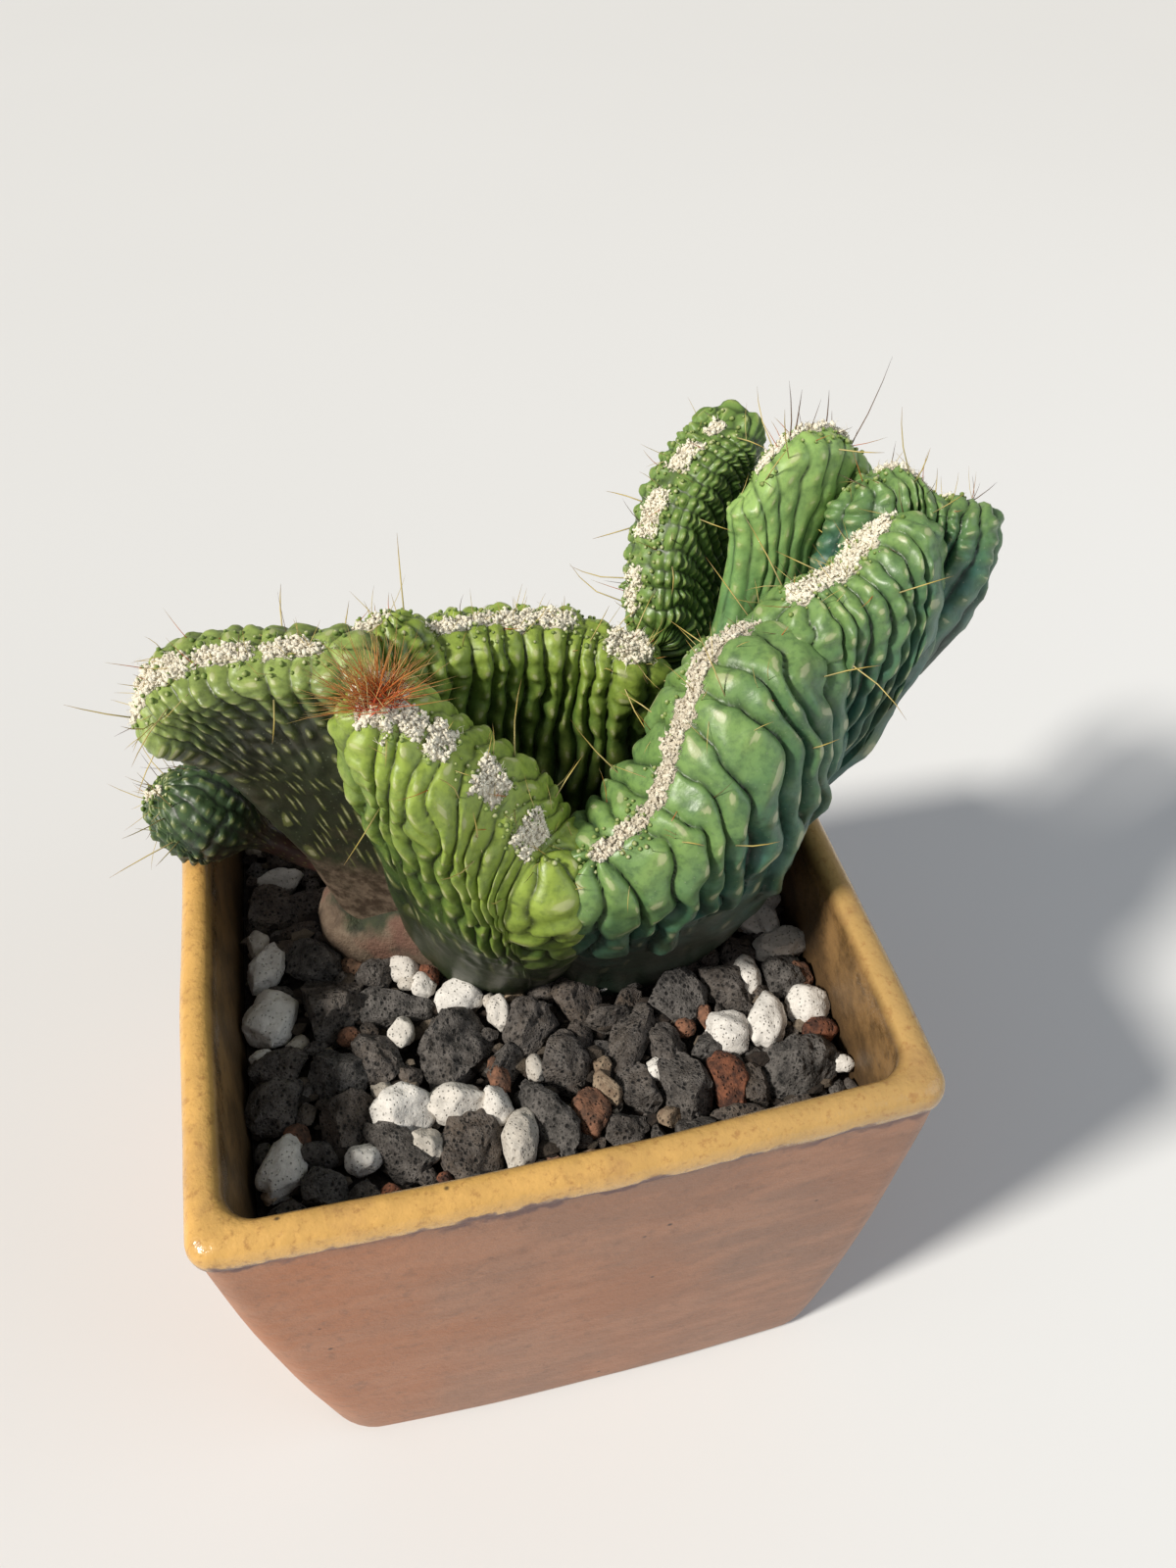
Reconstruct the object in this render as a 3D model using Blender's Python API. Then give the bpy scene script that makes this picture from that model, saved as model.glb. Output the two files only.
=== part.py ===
"""A crested cactus in a square glazed pot filled with lava grit.

Sizes are in millimetres and are turned to metres as each mesh is made. The pot's front faces -Y,
the plant leans to the right, and the origin is the middle of the pot's flat underside.
"""

import math
import random
from dataclasses import dataclass, replace

import bmesh
import bpy
import numpy as np

MM = 0.001
GAP = 0.35

# The pot
RIM_HALF = 45.2
FOOT_HALF = 41.6
POT_HEIGHT = 78.0
WALL = 3.9
FLOOR = 5.0
SIDE_BOW = 0.8
RIM_CORNER = 3.2
FOOT_CORNER = 9.0
WALL_CURVE = 1.82
INNER_RIM_CORNER = 4.5
INNER_FOOT_CORNER = 8.0
CORNER_STEPS = 4
SIDE_STEPS = 4
DRAIN_RADIUS = 4.0
DRAIN_OFFSET = 17.0
FOOT_ROUNDING = 2.0
OUTER_PROFILE = (
    (0.0, -1.8), (1.0, -0.5), (3.0, 0.0), (14.0, 0.0), (28.0, 0.0), (42.0, 0.0), (56.0, 0.0), (68.0, 0.0),
)
LIP_PROFILE = ((73.6, -0.1), (74.6, 0.35), (76.6, 0.25), (77.6, -0.6), (78.0, -1.8))
INNER_PROFILE = ((77.7, 0.9), (76.7, 0.15), (72.0, 0.0), (50.0, 0.0), (26.0, 0.0), (8.0, 0.0))

# The grit
GRIT_LEVEL = 60.5
LARGEST_STONE = 5.2
SMALLEST_STONE = 2.0
STONE_TRIES = 2600
STONE_SPREAD = 0.88
STONE_REACH = 1.16
STONE_CORNER = 2.0
BIG_STONE = 5.0
STONE_PULL = (0.82, 1.14)
STONE_SQUASH = (0.75, 1.0)
STONE_FLATTEN = 0.8
STONE_SINK = (-0.25, 0.1)
STONE_PLACE_SEED = 7
STONE_SHAPE_SEED = 11
STEM_CLEAR = 0.6
# The largest stones seen on top: x, y and half size
NOTED_STONES = (
    (-13, -14, 6.1), (-28, -4, 5.8), (33, -28, 5.4), (-12, -29, 4.6), (27, -12, 4.5), (20, -13, 4.5),
    (-30, 5, 4.5), (17, -28, 4.4), (-1, -13, 4.3), (2, -20, 4.2), (-20, -5, 4.2), (-37, 17, 4.1),
    (-28, -14, 4.1), (-37, -17, 4.0), (-28, -22, 4.0), (-21, -27, 4.0), (-37, -5, 4.0), (-1, -28, 3.9),
    (-20, -21, 3.6), (36, -13, 3.6), (12, -18, 3.6), (-36, -27, 3.4), (25, -21, 3.4), (31, -20, 3.4),
    (-10, -6, 3.2), (38, -19, 3.0), (-6, -30, 3.0),
)

# The cactus
RIBS_TO_COLUMNS = 2
BODY_LEVELS = (0.0, 0.3, 0.52, 0.7, 0.86)
CREST_ANGLES = (0.0, 35.0, 69.0)
TUBERCLE_SPACING = 3.4
TUBERCLE_HEIGHT = 0.25
RIB_START = 0.3
RIB_FULL = 0.65
CREST_FADE = 0.45
SPINE_RADIUS = 0.26
SPINE_TIP = 0.07
SPINE_ROOT = 0.9
SPINE_LENGTHS = (5.5, 10.0)
SPINE_LEAN = 0.45
SPINE_LEVELS = (0.9, 1.75)
SPINE_SEED = 23
LOWEST_SPINE_TIP = 84.0
CROWN_SPINES = 15
CROWN_PLACE = (-14.3, -7.5, 120.0)
CROWN_ACROSS = (0.95, 0.1, -0.1)
CROWN_UP = (0.0, 0.6, 0.8)
CROWN_FORWARD = (-0.2, -0.7, 0.6)
CROWN_TILTS = (0.25, 0.8, -0.35)
CROWN_LENGTHS = (6.5, 9.0)
TALL_SPINES = (
    ((43.0, 24.0, 125.0), (-0.1, 0.1, 1.0), 10.5),
    ((43.6, 24.3, 125.2), (0.12, 0.2, 0.9), 6.5),
    ((48.5, 25.7, 125.4), (0.1, 0.35, 0.9), 5.0),
    ((53.0, 27.0, 121.5), (0.4, 0.15, 0.95), 12.5),
    ((65.4, 16.5, 117.0), (0.75, -0.1, 0.65), 6.5),
)


@dataclass
class Lobe:
    """A crested fan: a sheet from the root line over the waist line to the crest line, with a thickness."""

    root: tuple
    waist: tuple
    crest: tuple
    half: float
    neck: float
    ribs: int
    end_ribs: int = 3
    depth: float = 0.75
    flare: float = 0.0
    ends: tuple = (1.0, 1.0)
    spines: int = 8


LOBES = {
    "left_fan": Lobe(
        root=((-19, 11, 56), (-14, 9, 56), (-8, 6, 56)),
        waist=((-28.5, 10, 94), (-24, 9, 97), (-16, 7, 95)),
        crest=((-42, 8.5, 110), (-39, 8.5, 115), (-30, 7.5, 117), (-19, 6, 117)),
        half=5.3,
        neck=0.85,
        ribs=10,
        ends=(0.9, 1.0),
    ),
    "front_lobe": Lobe(
        root=((-10, 5, 58), (-4, 3, 58), (1, 2, 58)),
        waist=((-12, -2, 93), (-7, -5, 88), (-1, -7, 82), (2, -7, 78)),
        crest=((-14, -7, 119), (-9.5, -9, 115.5), (-4.5, -11, 110), (-1, -13, 104), (1.5, -14, 98)),
        half=8.8,
        neck=0.9,
        ribs=11,
        ends=(0.7, 0.85),
    ),
    "middle_lobe": Lobe(
        root=((-6, 9, 58), (4, 8, 58), (14, 7, 58)),
        waist=((-9, 13, 90), (4, 15, 86), (16, 13, 84)),
        crest=((-7, 13, 112), (2, 16, 110), (12, 17, 107), (20, 14, 104)),
        half=5.2,
        neck=0.9,
        ribs=9,
    ),
    "right_lobe": Lobe(
        root=((8, -3, 58), (17, -1, 58), (25, 3, 58)),
        waist=((10, -8, 79), (19, -8, 84), (28, -6, 87), (33, -1.5, 89)),
        crest=((8, -15, 97), (15, -12.5, 101), (20, -7, 108), (26, 0, 113), (36, 6, 111.5)),
        half=9.6,
        neck=0.75,
        ribs=13,
        depth=0.9,
        spines=12,
        ends=(0.75, 0.95),
    ),
    "shoulder_lobe": Lobe(
        root=((14, 4, 58), (17, 6, 58)),
        waist=((36, 4, 92), (42, 4.5, 93.5), (46.5, 5.5, 96)),
        crest=((38.5, 5, 115.5), (45, 7.5, 116.5), (51, 12, 119)),
        half=7.2,
        neck=0.8,
        ribs=7,
        depth=0.85,
    ),
    "far_right_lobe": Lobe(
        root=((8, 7, 58), (11, 8, 58)),
        waist=((44, 12, 96), (49, 12, 97.5), (53.5, 10, 98.5)),
        crest=((52.5, 20, 121), (57, 20, 121.5), (60.5, 18, 119.5), (63, 15.5, 116)),
        half=6.4,
        neck=0.9,
        ribs=8,
        depth=0.85,
        ends=(0.9, 0.9),
    ),
    "paddle": Lobe(
        root=((20, 10, 60), (25, 11, 60)),
        waist=((34.5, 17, 99), (41, 19, 98)),
        crest=((37, 22, 119), (41, 23.5, 125), (48.5, 25.5, 126), (54, 27, 121)),
        half=3.8,
        neck=1.1,
        ribs=6,
        depth=0.5,
        ends=(0.75, 0.9),
        spines=4,
    ),
    "back_lobe": Lobe(
        root=((20, 13, 62), (22, 15, 64), (24, 16, 66)),
        waist=((29, 24, 92), (33, 29, 99), (37, 33, 103)),
        crest=((22.5, 24, 102), (24, 27, 109), (28, 31, 116), (33, 34, 120.5), (37.5, 36, 122)),
        half=5.4,
        neck=0.9,
        ribs=9,
    ),
    "small_knob": Lobe(
        root=((-14, 10, 88), (-11, 10, 88)),
        waist=((-15, 11, 102), (-11, 11, 102)),
        crest=((-16, 12, 114), (-12, 13, 115)),
        half=4.6,
        neck=0.9,
        ribs=3,
        depth=0.5,
        spines=2,
    ),
    "offset_ball": Lobe(
        root=((-22, 11, 72), (-21, 11, 72)),
        waist=((-33, 13.5, 80.5), (-32.5, 13, 80.5)),
        crest=((-46.5, 15.5, 89.5), (-44.5, 15, 91)),
        half=6.5,
        neck=0.3,
        ribs=3,
        end_ribs=6,
        depth=0.4,
        flare=0.66,
        spines=6,
    ),
}

TRUNK = Lobe(
    root=((-18, 10, 46), (-6, 6, 45), (6, 2, 45), (15, 1, 45), (24, 4, 46)),
    waist=((-21, 11, 60), (-8, 5, 60), (5, 1, 60), (16, 0, 60), (27, 4, 60)),
    crest=((-21, 10, 68), (-9, 5, 75), (5, 2, 78), (17, 1, 78), (27, 4, 76)),
    half=7.0,
    neck=0.8,
    ribs=8,
    end_ribs=4,
    depth=0.0,
)


def spline(points, t):
    """Points on the smooth curve through the given ones, for t from 0 to 1."""
    known = np.array(points, float)
    ends = np.vstack([2 * known[0] - known[1], known, 2 * known[-1] - known[-2]])
    spans = len(known) - 1
    along = np.clip(t, 0, 1) * spans
    first = np.minimum(along.astype(int), spans - 1)
    f = (along - first)[..., None]
    a, b, c, d = ends[first], ends[first + 1], ends[first + 2], ends[first + 3]
    return 0.5 * (2 * b + (c - a) * f + (2 * a - 5 * b + 4 * c - d) * f**2 + (3 * b - a - 3 * c + d) * f**3)


def unit(vectors):
    return vectors / np.maximum(np.linalg.norm(vectors, axis=-1, keepdims=True), 1e-9)


def sheet_point(lobe, u, s):
    """The middle of the fan at u along it and s up it, on a curve from root through waist to crest."""
    s = s[..., None]
    low = spline(lobe.root, u) * (1 - s) * (1 - 2 * s)
    middle = spline(lobe.waist, u) * 4 * s * (1 - s)
    return low + middle + spline(lobe.crest, u) * s * (2 * s - 1)


def sheet_frame(lobe, u, s):
    """The middle point, the way across the fan, the way along it and the way up it."""
    step = 0.02
    point = sheet_point(lobe, u, s)
    along = sheet_point(lobe, u + step, s) - sheet_point(lobe, u - step, s)
    up = unit(sheet_point(lobe, u, s + step) - sheet_point(lobe, u, s - step))
    across = unit(np.cross(along, up))
    return point, across, np.cross(up, across), up


def smooth(x):
    x = np.clip(x, 0, 1)
    return x * x * (3 - 2 * x)


def taper(lobe, u):
    """The share of the full thickness that is left towards each end of the crest."""
    first, last = lobe.ends
    return 1 - (1 - first) * (1 - u) ** 3 - (1 - last) * u**3


def lobe_surface(lobe, columns, levels):
    """Points round the fan and the way each faces. columns are in ribs, levels run 0 to 2.

    Levels 0 to 1 climb the body and 1 to 2 go round the crest.
    """
    ribs, ends = lobe.ribs, lobe.end_ribs
    column, level = np.meshgrid(columns, levels)
    second = column - ribs - ends
    third = second - ribs
    u = np.where(column < ribs, column / ribs, 1.0)
    u = np.where(second > 0, 1 - np.clip(second / ribs, 0, 1), u)
    turn = np.where(column < ribs, 0.0, np.clip((column - ribs) / ends, 0, 1) * math.pi)
    turn = np.where(third > 0, math.pi + np.clip(third / ends, 0, 1) * math.pi, turn)
    length = np.linalg.norm(spline(lobe.crest, u) - spline(lobe.root, u), axis=-1)
    shoulder = 1 - lobe.half / length
    body = np.clip(level, 0, 1)
    round_angle = np.clip(level - 1, 0, 1) * math.pi / 2
    s = shoulder * body + (1 - shoulder) * np.sin(round_angle)
    swell = lobe.neck + (1 - lobe.neck) * smooth((body - lobe.flare) * 1.15 / (1 - lobe.flare))
    thickness = lobe.half * taper(lobe, u) * swell * np.cos(round_angle)
    point, across, along, up = sheet_frame(lobe, u, s)
    outward = across * np.cos(turn)[..., None] + along * np.sin(turn)[..., None]
    surface = point + outward * thickness[..., None]
    facing = unit(outward * np.cos(round_angle)[..., None] + up * np.sin(round_angle)[..., None])
    wave = 2 * np.abs(np.cos(np.pi * column)) - 1
    fade = smooth((body - RIB_START) / (RIB_FULL - RIB_START)) * (1 - CREST_FADE * np.sin(round_angle))
    climb = s * length / TUBERCLE_SPACING
    bumps = np.cos(2 * np.pi * climb + np.pi * np.round(column)) * (wave > 0)
    height = fade * (lobe.depth * wave + TUBERCLE_HEIGHT * bumps)
    return surface + facing * height[..., None], facing


def loft_faces(rows, columns):
    """Quads between the rows of a closed ring, each end zipped up across its middle."""
    faces = []
    for row in range(rows - 1):
        for column in range(columns):
            right = (column + 1) % columns
            start = row * columns
            faces.append((start + column, start + right, start + columns + right, start + columns + column))
    for start, top in ((0, False), ((rows - 1) * columns, True)):
        for k in range(columns // 2 - 1):
            quad = (start + k, start + k + 1, start + columns - 2 - k, start + columns - 1 - k)
            faces.append(quad if top else quad[::-1])
    return faces


def mesh_object(name, points, faces):
    mesh = bpy.data.meshes.new(name)
    mesh.from_pydata([tuple(float(c) * MM for c in p) for p in points], [], faces)
    body = bmesh.new()
    body.from_mesh(mesh)
    bmesh.ops.remove_doubles(body, verts=body.verts, dist=0.01 * MM)
    bmesh.ops.recalc_face_normals(body, faces=body.faces)
    bmesh.ops.triangulate(body, faces=body.faces)
    body.to_mesh(mesh)
    body.free()
    thing = bpy.data.objects.new(name, mesh)
    bpy.context.scene.collection.objects.link(thing)
    return thing


def lobe_mesh(name, lobe):
    total = 2 * (lobe.ribs + lobe.end_ribs)
    count = total * RIBS_TO_COLUMNS
    half_end = lobe.end_ribs / 2
    columns = (np.arange(count) / RIBS_TO_COLUMNS - half_end) % total
    levels = np.array(list(BODY_LEVELS) + [1 + a / 90 for a in CREST_ANGLES])
    points, _ = lobe_surface(lobe, columns, levels)
    return mesh_object(name, points.reshape(-1, 3), loft_faces(len(levels), count))


def join(name, things):
    """One closed body from many, keeping only its outer skin."""
    base, rest = things[0], things[1:]
    group = bpy.data.collections.new(name)
    for thing in rest:
        group.objects.link(thing)
    union = base.modifiers.new("join", "BOOLEAN")
    union.operation = "UNION"
    union.operand_type = "COLLECTION"
    union.collection = group
    union.solver = "MANIFOLD"
    bpy.context.view_layer.update()
    bpy.context.view_layer.objects.active = base
    bpy.ops.object.modifier_apply(modifier=union.name)
    for thing in rest:
        bpy.data.objects.remove(thing)
    bpy.data.collections.remove(group)
    keep_outer_skin(base.data)
    base.name = name
    return base


def keep_outer_skin(mesh):
    """Drops loose scraps and the walls of sealed hollows, which fills them."""
    body = bmesh.new()
    body.from_mesh(mesh)
    left = set(body.verts)
    shells = []
    while left:
        shell = set()
        edge = [left.pop()]
        while edge:
            vert = edge.pop()
            shell.add(vert)
            near = {link.other_vert(vert) for link in vert.link_edges} & left
            left -= near
            edge.extend(near)
        shells.append(shell)
    largest = max(shells, key=len)
    scraps = [vert for shell in shells if shell is not largest for vert in shell]
    bmesh.ops.delete(body, geom=scraps, context="VERTS")
    body.to_mesh(mesh)
    body.free()


def material(name, colour, roughness):
    """A plain finish; colour is linear red, green and blue."""
    made = bpy.data.materials.new(name)
    made.use_nodes = True
    shader = made.node_tree.nodes["Principled BSDF"]
    shader.inputs["Base Color"].default_value = (*colour, 1)
    shader.inputs["Roughness"].default_value = roughness
    shader.inputs["Metallic"].default_value = 0.0
    made.diffuse_color = (*colour, 1)
    return made


def dress(thing, finish):
    thing.data.materials.clear()
    thing.data.materials.append(finish)
    for face in thing.data.polygons:
        face.material_index = 0


def spine_mesh(name, base, way, length):
    """A three-sided needle from a little inside the skin."""
    way = unit(np.array(way, float))
    side = unit(np.cross(way, (0.3, 0.5, 0.81)))
    other = np.cross(way, side)
    points = []
    for centre, radius in ((base - way * SPINE_ROOT, SPINE_RADIUS), (base + way * length, SPINE_TIP)):
        for k in range(3):
            angle = 2 * math.pi * k / 3
            points.append(centre + (side * math.cos(angle) + other * math.sin(angle)) * radius)
    faces = [(0, 2, 1), (3, 4, 5)] + [(k, (k + 1) % 3, 3 + (k + 1) % 3, 3 + k) for k in range(3)]
    return mesh_object(name, points, faces)


def lobe_spines(lobe, rng):
    """The strewn spines of one fan: base, way and length, near the crest on both of its sides."""
    found = []
    while len(found) < lobe.spines:
        column = rng.randrange(2 * (lobe.ribs + lobe.end_ribs))
        level = rng.uniform(*SPINE_LEVELS)
        point, facing = lobe_surface(lobe, np.array([column]), np.array([level]))
        lean = [rng.uniform(-SPINE_LEAN, SPINE_LEAN) for _ in range(3)]
        way = unit(facing[0, 0] + np.array(lean))
        length = rng.uniform(*SPINE_LENGTHS)
        if (point[0, 0] + way * length)[2] > LOWEST_SPINE_TIP:
            found.append((point[0, 0], way, length))
    return found


def crown_spines(rng):
    """The dense brush at the top end of the front lobe, fanned out over a half circle."""
    found = []
    for k in range(CROWN_SPINES):
        swing = math.pi * (k + 0.5) / CROWN_SPINES
        tilt = CROWN_TILTS[k % len(CROWN_TILTS)]
        way = unit(np.array(CROWN_ACROSS) * math.cos(swing) + np.array(CROWN_UP) * math.sin(swing))
        way = unit(way + tilt * np.array(CROWN_FORWARD))
        found.append((np.array(CROWN_PLACE), way, rng.uniform(*CROWN_LENGTHS)))
    return found


def spines():
    rng = random.Random(SPINE_SEED)
    found = [(np.array(base), np.array(way), length) for base, way, length in TALL_SPINES]
    found += crown_spines(rng)
    for lobe in LOBES.values():
        found += lobe_spines(lobe, rng)
    return found


def ring_of(half, corner, z, bow=SIDE_BOW):
    """A square with round corners and softly bowed sides, half across at the middle of a side."""
    centre = half - bow - corner
    points = []
    for quarter in range(4):
        turn = quarter * math.pi / 2
        flat = []
        for k in range(CORNER_STEPS + 1):
            angle = math.pi / 2 * k / CORNER_STEPS
            flat.append((centre + corner * math.cos(angle), centre + corner * math.sin(angle)))
        for k in range(1, SIDE_STEPS):
            t = k / SIDE_STEPS
            flat.append((centre * (1 - 2 * t), half - bow + bow * 4 * t * (1 - t)))
        for x, y in flat:
            points.append((x * math.cos(turn) - y * math.sin(turn), x * math.sin(turn) + y * math.cos(turn), z))
    return points


def wall_half(z):
    """Half the pot's width at a height, bulging softly between foot and rim."""
    return FOOT_HALF + (RIM_HALF - FOOT_HALF) * (1 - (1 - z / POT_HEIGHT) ** WALL_CURVE)


def wall_corner(z):
    return FOOT_CORNER + (RIM_CORNER - FOOT_CORNER) * z / POT_HEIGHT


def inner_corner(z):
    return INNER_FOOT_CORNER + (INNER_RIM_CORNER - INNER_FOOT_CORNER) * z / POT_HEIGHT


def stack(name, rings):
    """A closed body through rings of the same count, one above or inside another."""
    count = len(rings[0])
    points = [point for ring in rings for point in ring]
    faces = []
    for row in range(len(rings) - 1):
        for k in range(count):
            right = (k + 1) % count
            start = row * count
            faces.append((start + k, start + right, start + count + right, start + count + k))
    faces.append(tuple(range(count))[::-1])
    faces.append(tuple(range((len(rings) - 1) * count, len(rings) * count)))
    return mesh_object(name, points, faces)


def cutter(thing):
    thing.hide_render = True
    thing.display_type = "WIRE"
    thing.hide_set(True)
    return thing


def make_pot():
    rings = []
    for z, proud in OUTER_PROFILE + LIP_PROFILE:
        rings.append(ring_of(wall_half(z) + proud, wall_corner(z), z))
    for z, proud in INNER_PROFILE:
        rings.append(ring_of(wall_half(z) - WALL + proud, inner_corner(z), z))
    rings.append(ring_of(wall_half(FLOOR) - WALL - FOOT_ROUNDING, inner_corner(FLOOR), FLOOR))
    pot = stack("pot", rings)
    for sign in (-1, 1):
        bpy.ops.mesh.primitive_cylinder_add(
            vertices=12,
            radius=DRAIN_RADIUS * MM,
            depth=4 * FLOOR * MM,
            location=(sign * DRAIN_OFFSET * MM, 0, 0),
        )
        hole = cutter(bpy.context.active_object)
        hole.name = f"drain_cutter_{sign}"
        cut = pot.modifiers.new("drain", "BOOLEAN")
        cut.object = hole
        cut.operation = "DIFFERENCE"
    dress(pot, material("glazed clay", (0.42, 0.19, 0.09), 0.5))
    return pot


def stone_mesh(name, centre, size, squash, rng):
    """A broken lump of lava: a coarse ball with its points pulled about."""
    bpy.ops.mesh.primitive_ico_sphere_add(subdivisions=2 if size > BIG_STONE else 1, radius=1)
    stone = bpy.context.active_object
    stone.name = name
    turn = rng.uniform(0, math.pi)
    for vert in stone.data.vertices:
        pull = size * rng.uniform(*STONE_PULL)
        x, y, z = (c * pull for c in vert.co)
        y *= squash
        vert.co = (
            (centre[0] + x * math.cos(turn) - y * math.sin(turn)) * MM,
            (centre[1] + x * math.sin(turn) + y * math.cos(turn)) * MM,
            (centre[2] + z * STONE_FLATTEN) * MM,
        )
    return stone


def stone_places():
    """Centres and sizes of the top stones: the noted ones, then others strewn between them, largest first."""
    rng = random.Random(STONE_PLACE_SEED)
    limit = wall_half(GRIT_LEVEL) - WALL - GAP
    placed = []
    for x, y, size in NOTED_STONES:
        reach = limit - size * STONE_REACH
        z = GRIT_LEVEL + size * rng.uniform(*STONE_SINK)
        placed.append((max(-reach, min(reach, x)), max(-reach, min(reach, y)), z, size))
    for k in range(STONE_TRIES):
        share = k / STONE_TRIES
        size = LARGEST_STONE + (SMALLEST_STONE - LARGEST_STONE) * min(1, share * 1.3)
        size *= rng.uniform(0.85, 1.1)
        reach = limit - size * STONE_REACH
        x, y = rng.uniform(-reach, reach), rng.uniform(-reach, reach)
        in_corner = abs(x) + abs(y) > 2 * reach - STONE_CORNER
        apart = all(math.hypot(x - a, y - b) > STONE_SPREAD * (size + r) for a, b, _, r in placed)
        if apart and not in_corner:
            placed.append((x, y, GRIT_LEVEL + size * rng.uniform(*STONE_SINK), size))
    return placed


def make_grit():
    """The filling, with its loose top stones fused on and a plain hole for the stem."""
    rng = random.Random(STONE_SHAPE_SEED)
    rings = []
    for z in (FLOOR + GAP, 8.0 + GAP, 26.0, 50.0, GRIT_LEVEL - 1.5):
        inset = WALL + GAP + (FOOT_ROUNDING if z < 8.0 else 0.0)
        rings.append(ring_of(wall_half(z) - inset, inner_corner(z), z))
    things = [stack("filling", rings)]
    for k, (x, y, z, size) in enumerate(stone_places()):
        things.append(stone_mesh(f"stone_{k}", (x, y, z), size, rng.uniform(*STONE_SQUASH), rng))
    grit = join("grit", things)
    cutters = bpy.data.collections.new("stem hole")
    for k, lobe in enumerate([TRUNK, *LOBES.values()]):
        wide = replace(lobe, half=lobe.half + STEM_CLEAR, root=lower(lobe.root, STEM_CLEAR), depth=0.0)
        hole = lobe_mesh(f"stem_cutter_{k}", wide)
        bpy.context.scene.collection.objects.unlink(hole)
        cutters.objects.link(hole)
    bpy.context.scene.collection.children.link(cutters)
    cut = grit.modifiers.new("stem hole", "BOOLEAN")
    cut.operation = "DIFFERENCE"
    cut.operand_type = "COLLECTION"
    cut.collection = cutters
    cut.solver = "MANIFOLD"
    bpy.context.view_layer.update()
    bpy.context.view_layer.objects.active = grit
    bpy.ops.object.modifier_apply(modifier=cut.name)
    for thing in list(cutters.objects):
        bpy.data.objects.remove(thing)
    bpy.data.collections.remove(cutters)
    keep_outer_skin(grit.data)
    dress(grit, material("lava grit", (0.09, 0.08, 0.075), 0.9))
    return grit


def lower(points, by):
    return tuple((x, y, z - by) for x, y, z in points)


def make_cactus():
    things = [lobe_mesh("trunk", TRUNK)]
    for name, lobe in LOBES.items():
        things.append(lobe_mesh(name, lobe))
    for k, (base, way, length) in enumerate(spines()):
        things.append(spine_mesh(f"spine_{k}", base, way, length))
    cactus = join("cactus", things)
    dress(cactus, material("green skin", (0.14, 0.26, 0.1), 0.5))
    return cactus


def main():
    for old in list(bpy.data.objects):
        bpy.data.objects.remove(old)
    make_pot()
    make_grit()
    make_cactus()


main()
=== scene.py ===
"""A crested cactus in a square glazed pot of lava grit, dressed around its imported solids.

Sizes in the tables are in millimetres. The pot's front faces -Y and the plant leans to +X.
"""

import math
import random
from dataclasses import dataclass

import bpy
import numpy as np
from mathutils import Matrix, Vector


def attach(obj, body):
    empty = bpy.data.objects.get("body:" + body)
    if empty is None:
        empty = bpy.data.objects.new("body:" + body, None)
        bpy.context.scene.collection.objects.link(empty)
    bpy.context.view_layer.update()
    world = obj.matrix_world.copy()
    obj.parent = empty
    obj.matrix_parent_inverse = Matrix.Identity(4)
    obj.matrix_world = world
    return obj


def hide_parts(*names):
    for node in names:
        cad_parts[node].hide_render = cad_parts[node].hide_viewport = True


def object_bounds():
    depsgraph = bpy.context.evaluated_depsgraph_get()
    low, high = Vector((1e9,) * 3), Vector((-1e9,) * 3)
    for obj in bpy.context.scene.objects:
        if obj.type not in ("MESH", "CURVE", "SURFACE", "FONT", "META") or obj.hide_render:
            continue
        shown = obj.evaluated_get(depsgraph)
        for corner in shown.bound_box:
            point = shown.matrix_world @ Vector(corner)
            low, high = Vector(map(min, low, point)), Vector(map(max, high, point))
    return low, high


bl_info = {
    "name": "Crested Cactus in a Glazed Pot",
    "version": (1, 0, 0),
    "blender": (4, 5, 0),
    "location": "View3D > Sidebar > Crested Cactus",
    "description": "Builds the fans, wool, spines, grit, pot glaze and studio of a crested cactus",
    "category": "Add Mesh",
}

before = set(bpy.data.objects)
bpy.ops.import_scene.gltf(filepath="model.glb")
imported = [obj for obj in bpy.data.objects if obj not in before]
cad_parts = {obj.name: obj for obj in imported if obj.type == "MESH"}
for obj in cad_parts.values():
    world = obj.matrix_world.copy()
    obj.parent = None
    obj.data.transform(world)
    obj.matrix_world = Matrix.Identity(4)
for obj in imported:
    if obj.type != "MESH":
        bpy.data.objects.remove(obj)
CAD_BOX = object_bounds()

MM = 0.001
ICO_FACES = {}
SURFACES = {}


@dataclass
class Fan:
    """A crested fan: its sheet and thickness as in the solids, then the look of its ribs, wool and skin."""

    root: tuple
    waist: tuple
    crest: tuple
    half: float
    neck: float
    ribs: int
    end_ribs: int = 3
    depth: float = 0.75
    flare: float = 0.0
    ends: tuple = (1.0, 1.0)
    spines: int = 8
    fine_ribs: int = 10
    fine_ends: int = 3
    per_rib: int = 12
    rows: int = 76
    rise: float = 1.0
    rib_start: tuple = (0.25, 0.5)
    noses: float = 0.4
    nose_gap: float = 1.5
    nose_growth: float = 0.16
    notch: float = 0.35
    fingers: float = 0.0
    wander: float = 0.3
    slant: float = 0.0
    skin: str = "fresh"
    wool: tuple = ()
    dull_wool: float = 0.1
    beads: tuple = ()
    hairs: int = 40
    fresh: float = 18.0
    top_rows: int = 24
    foot: float = 0.0


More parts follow.
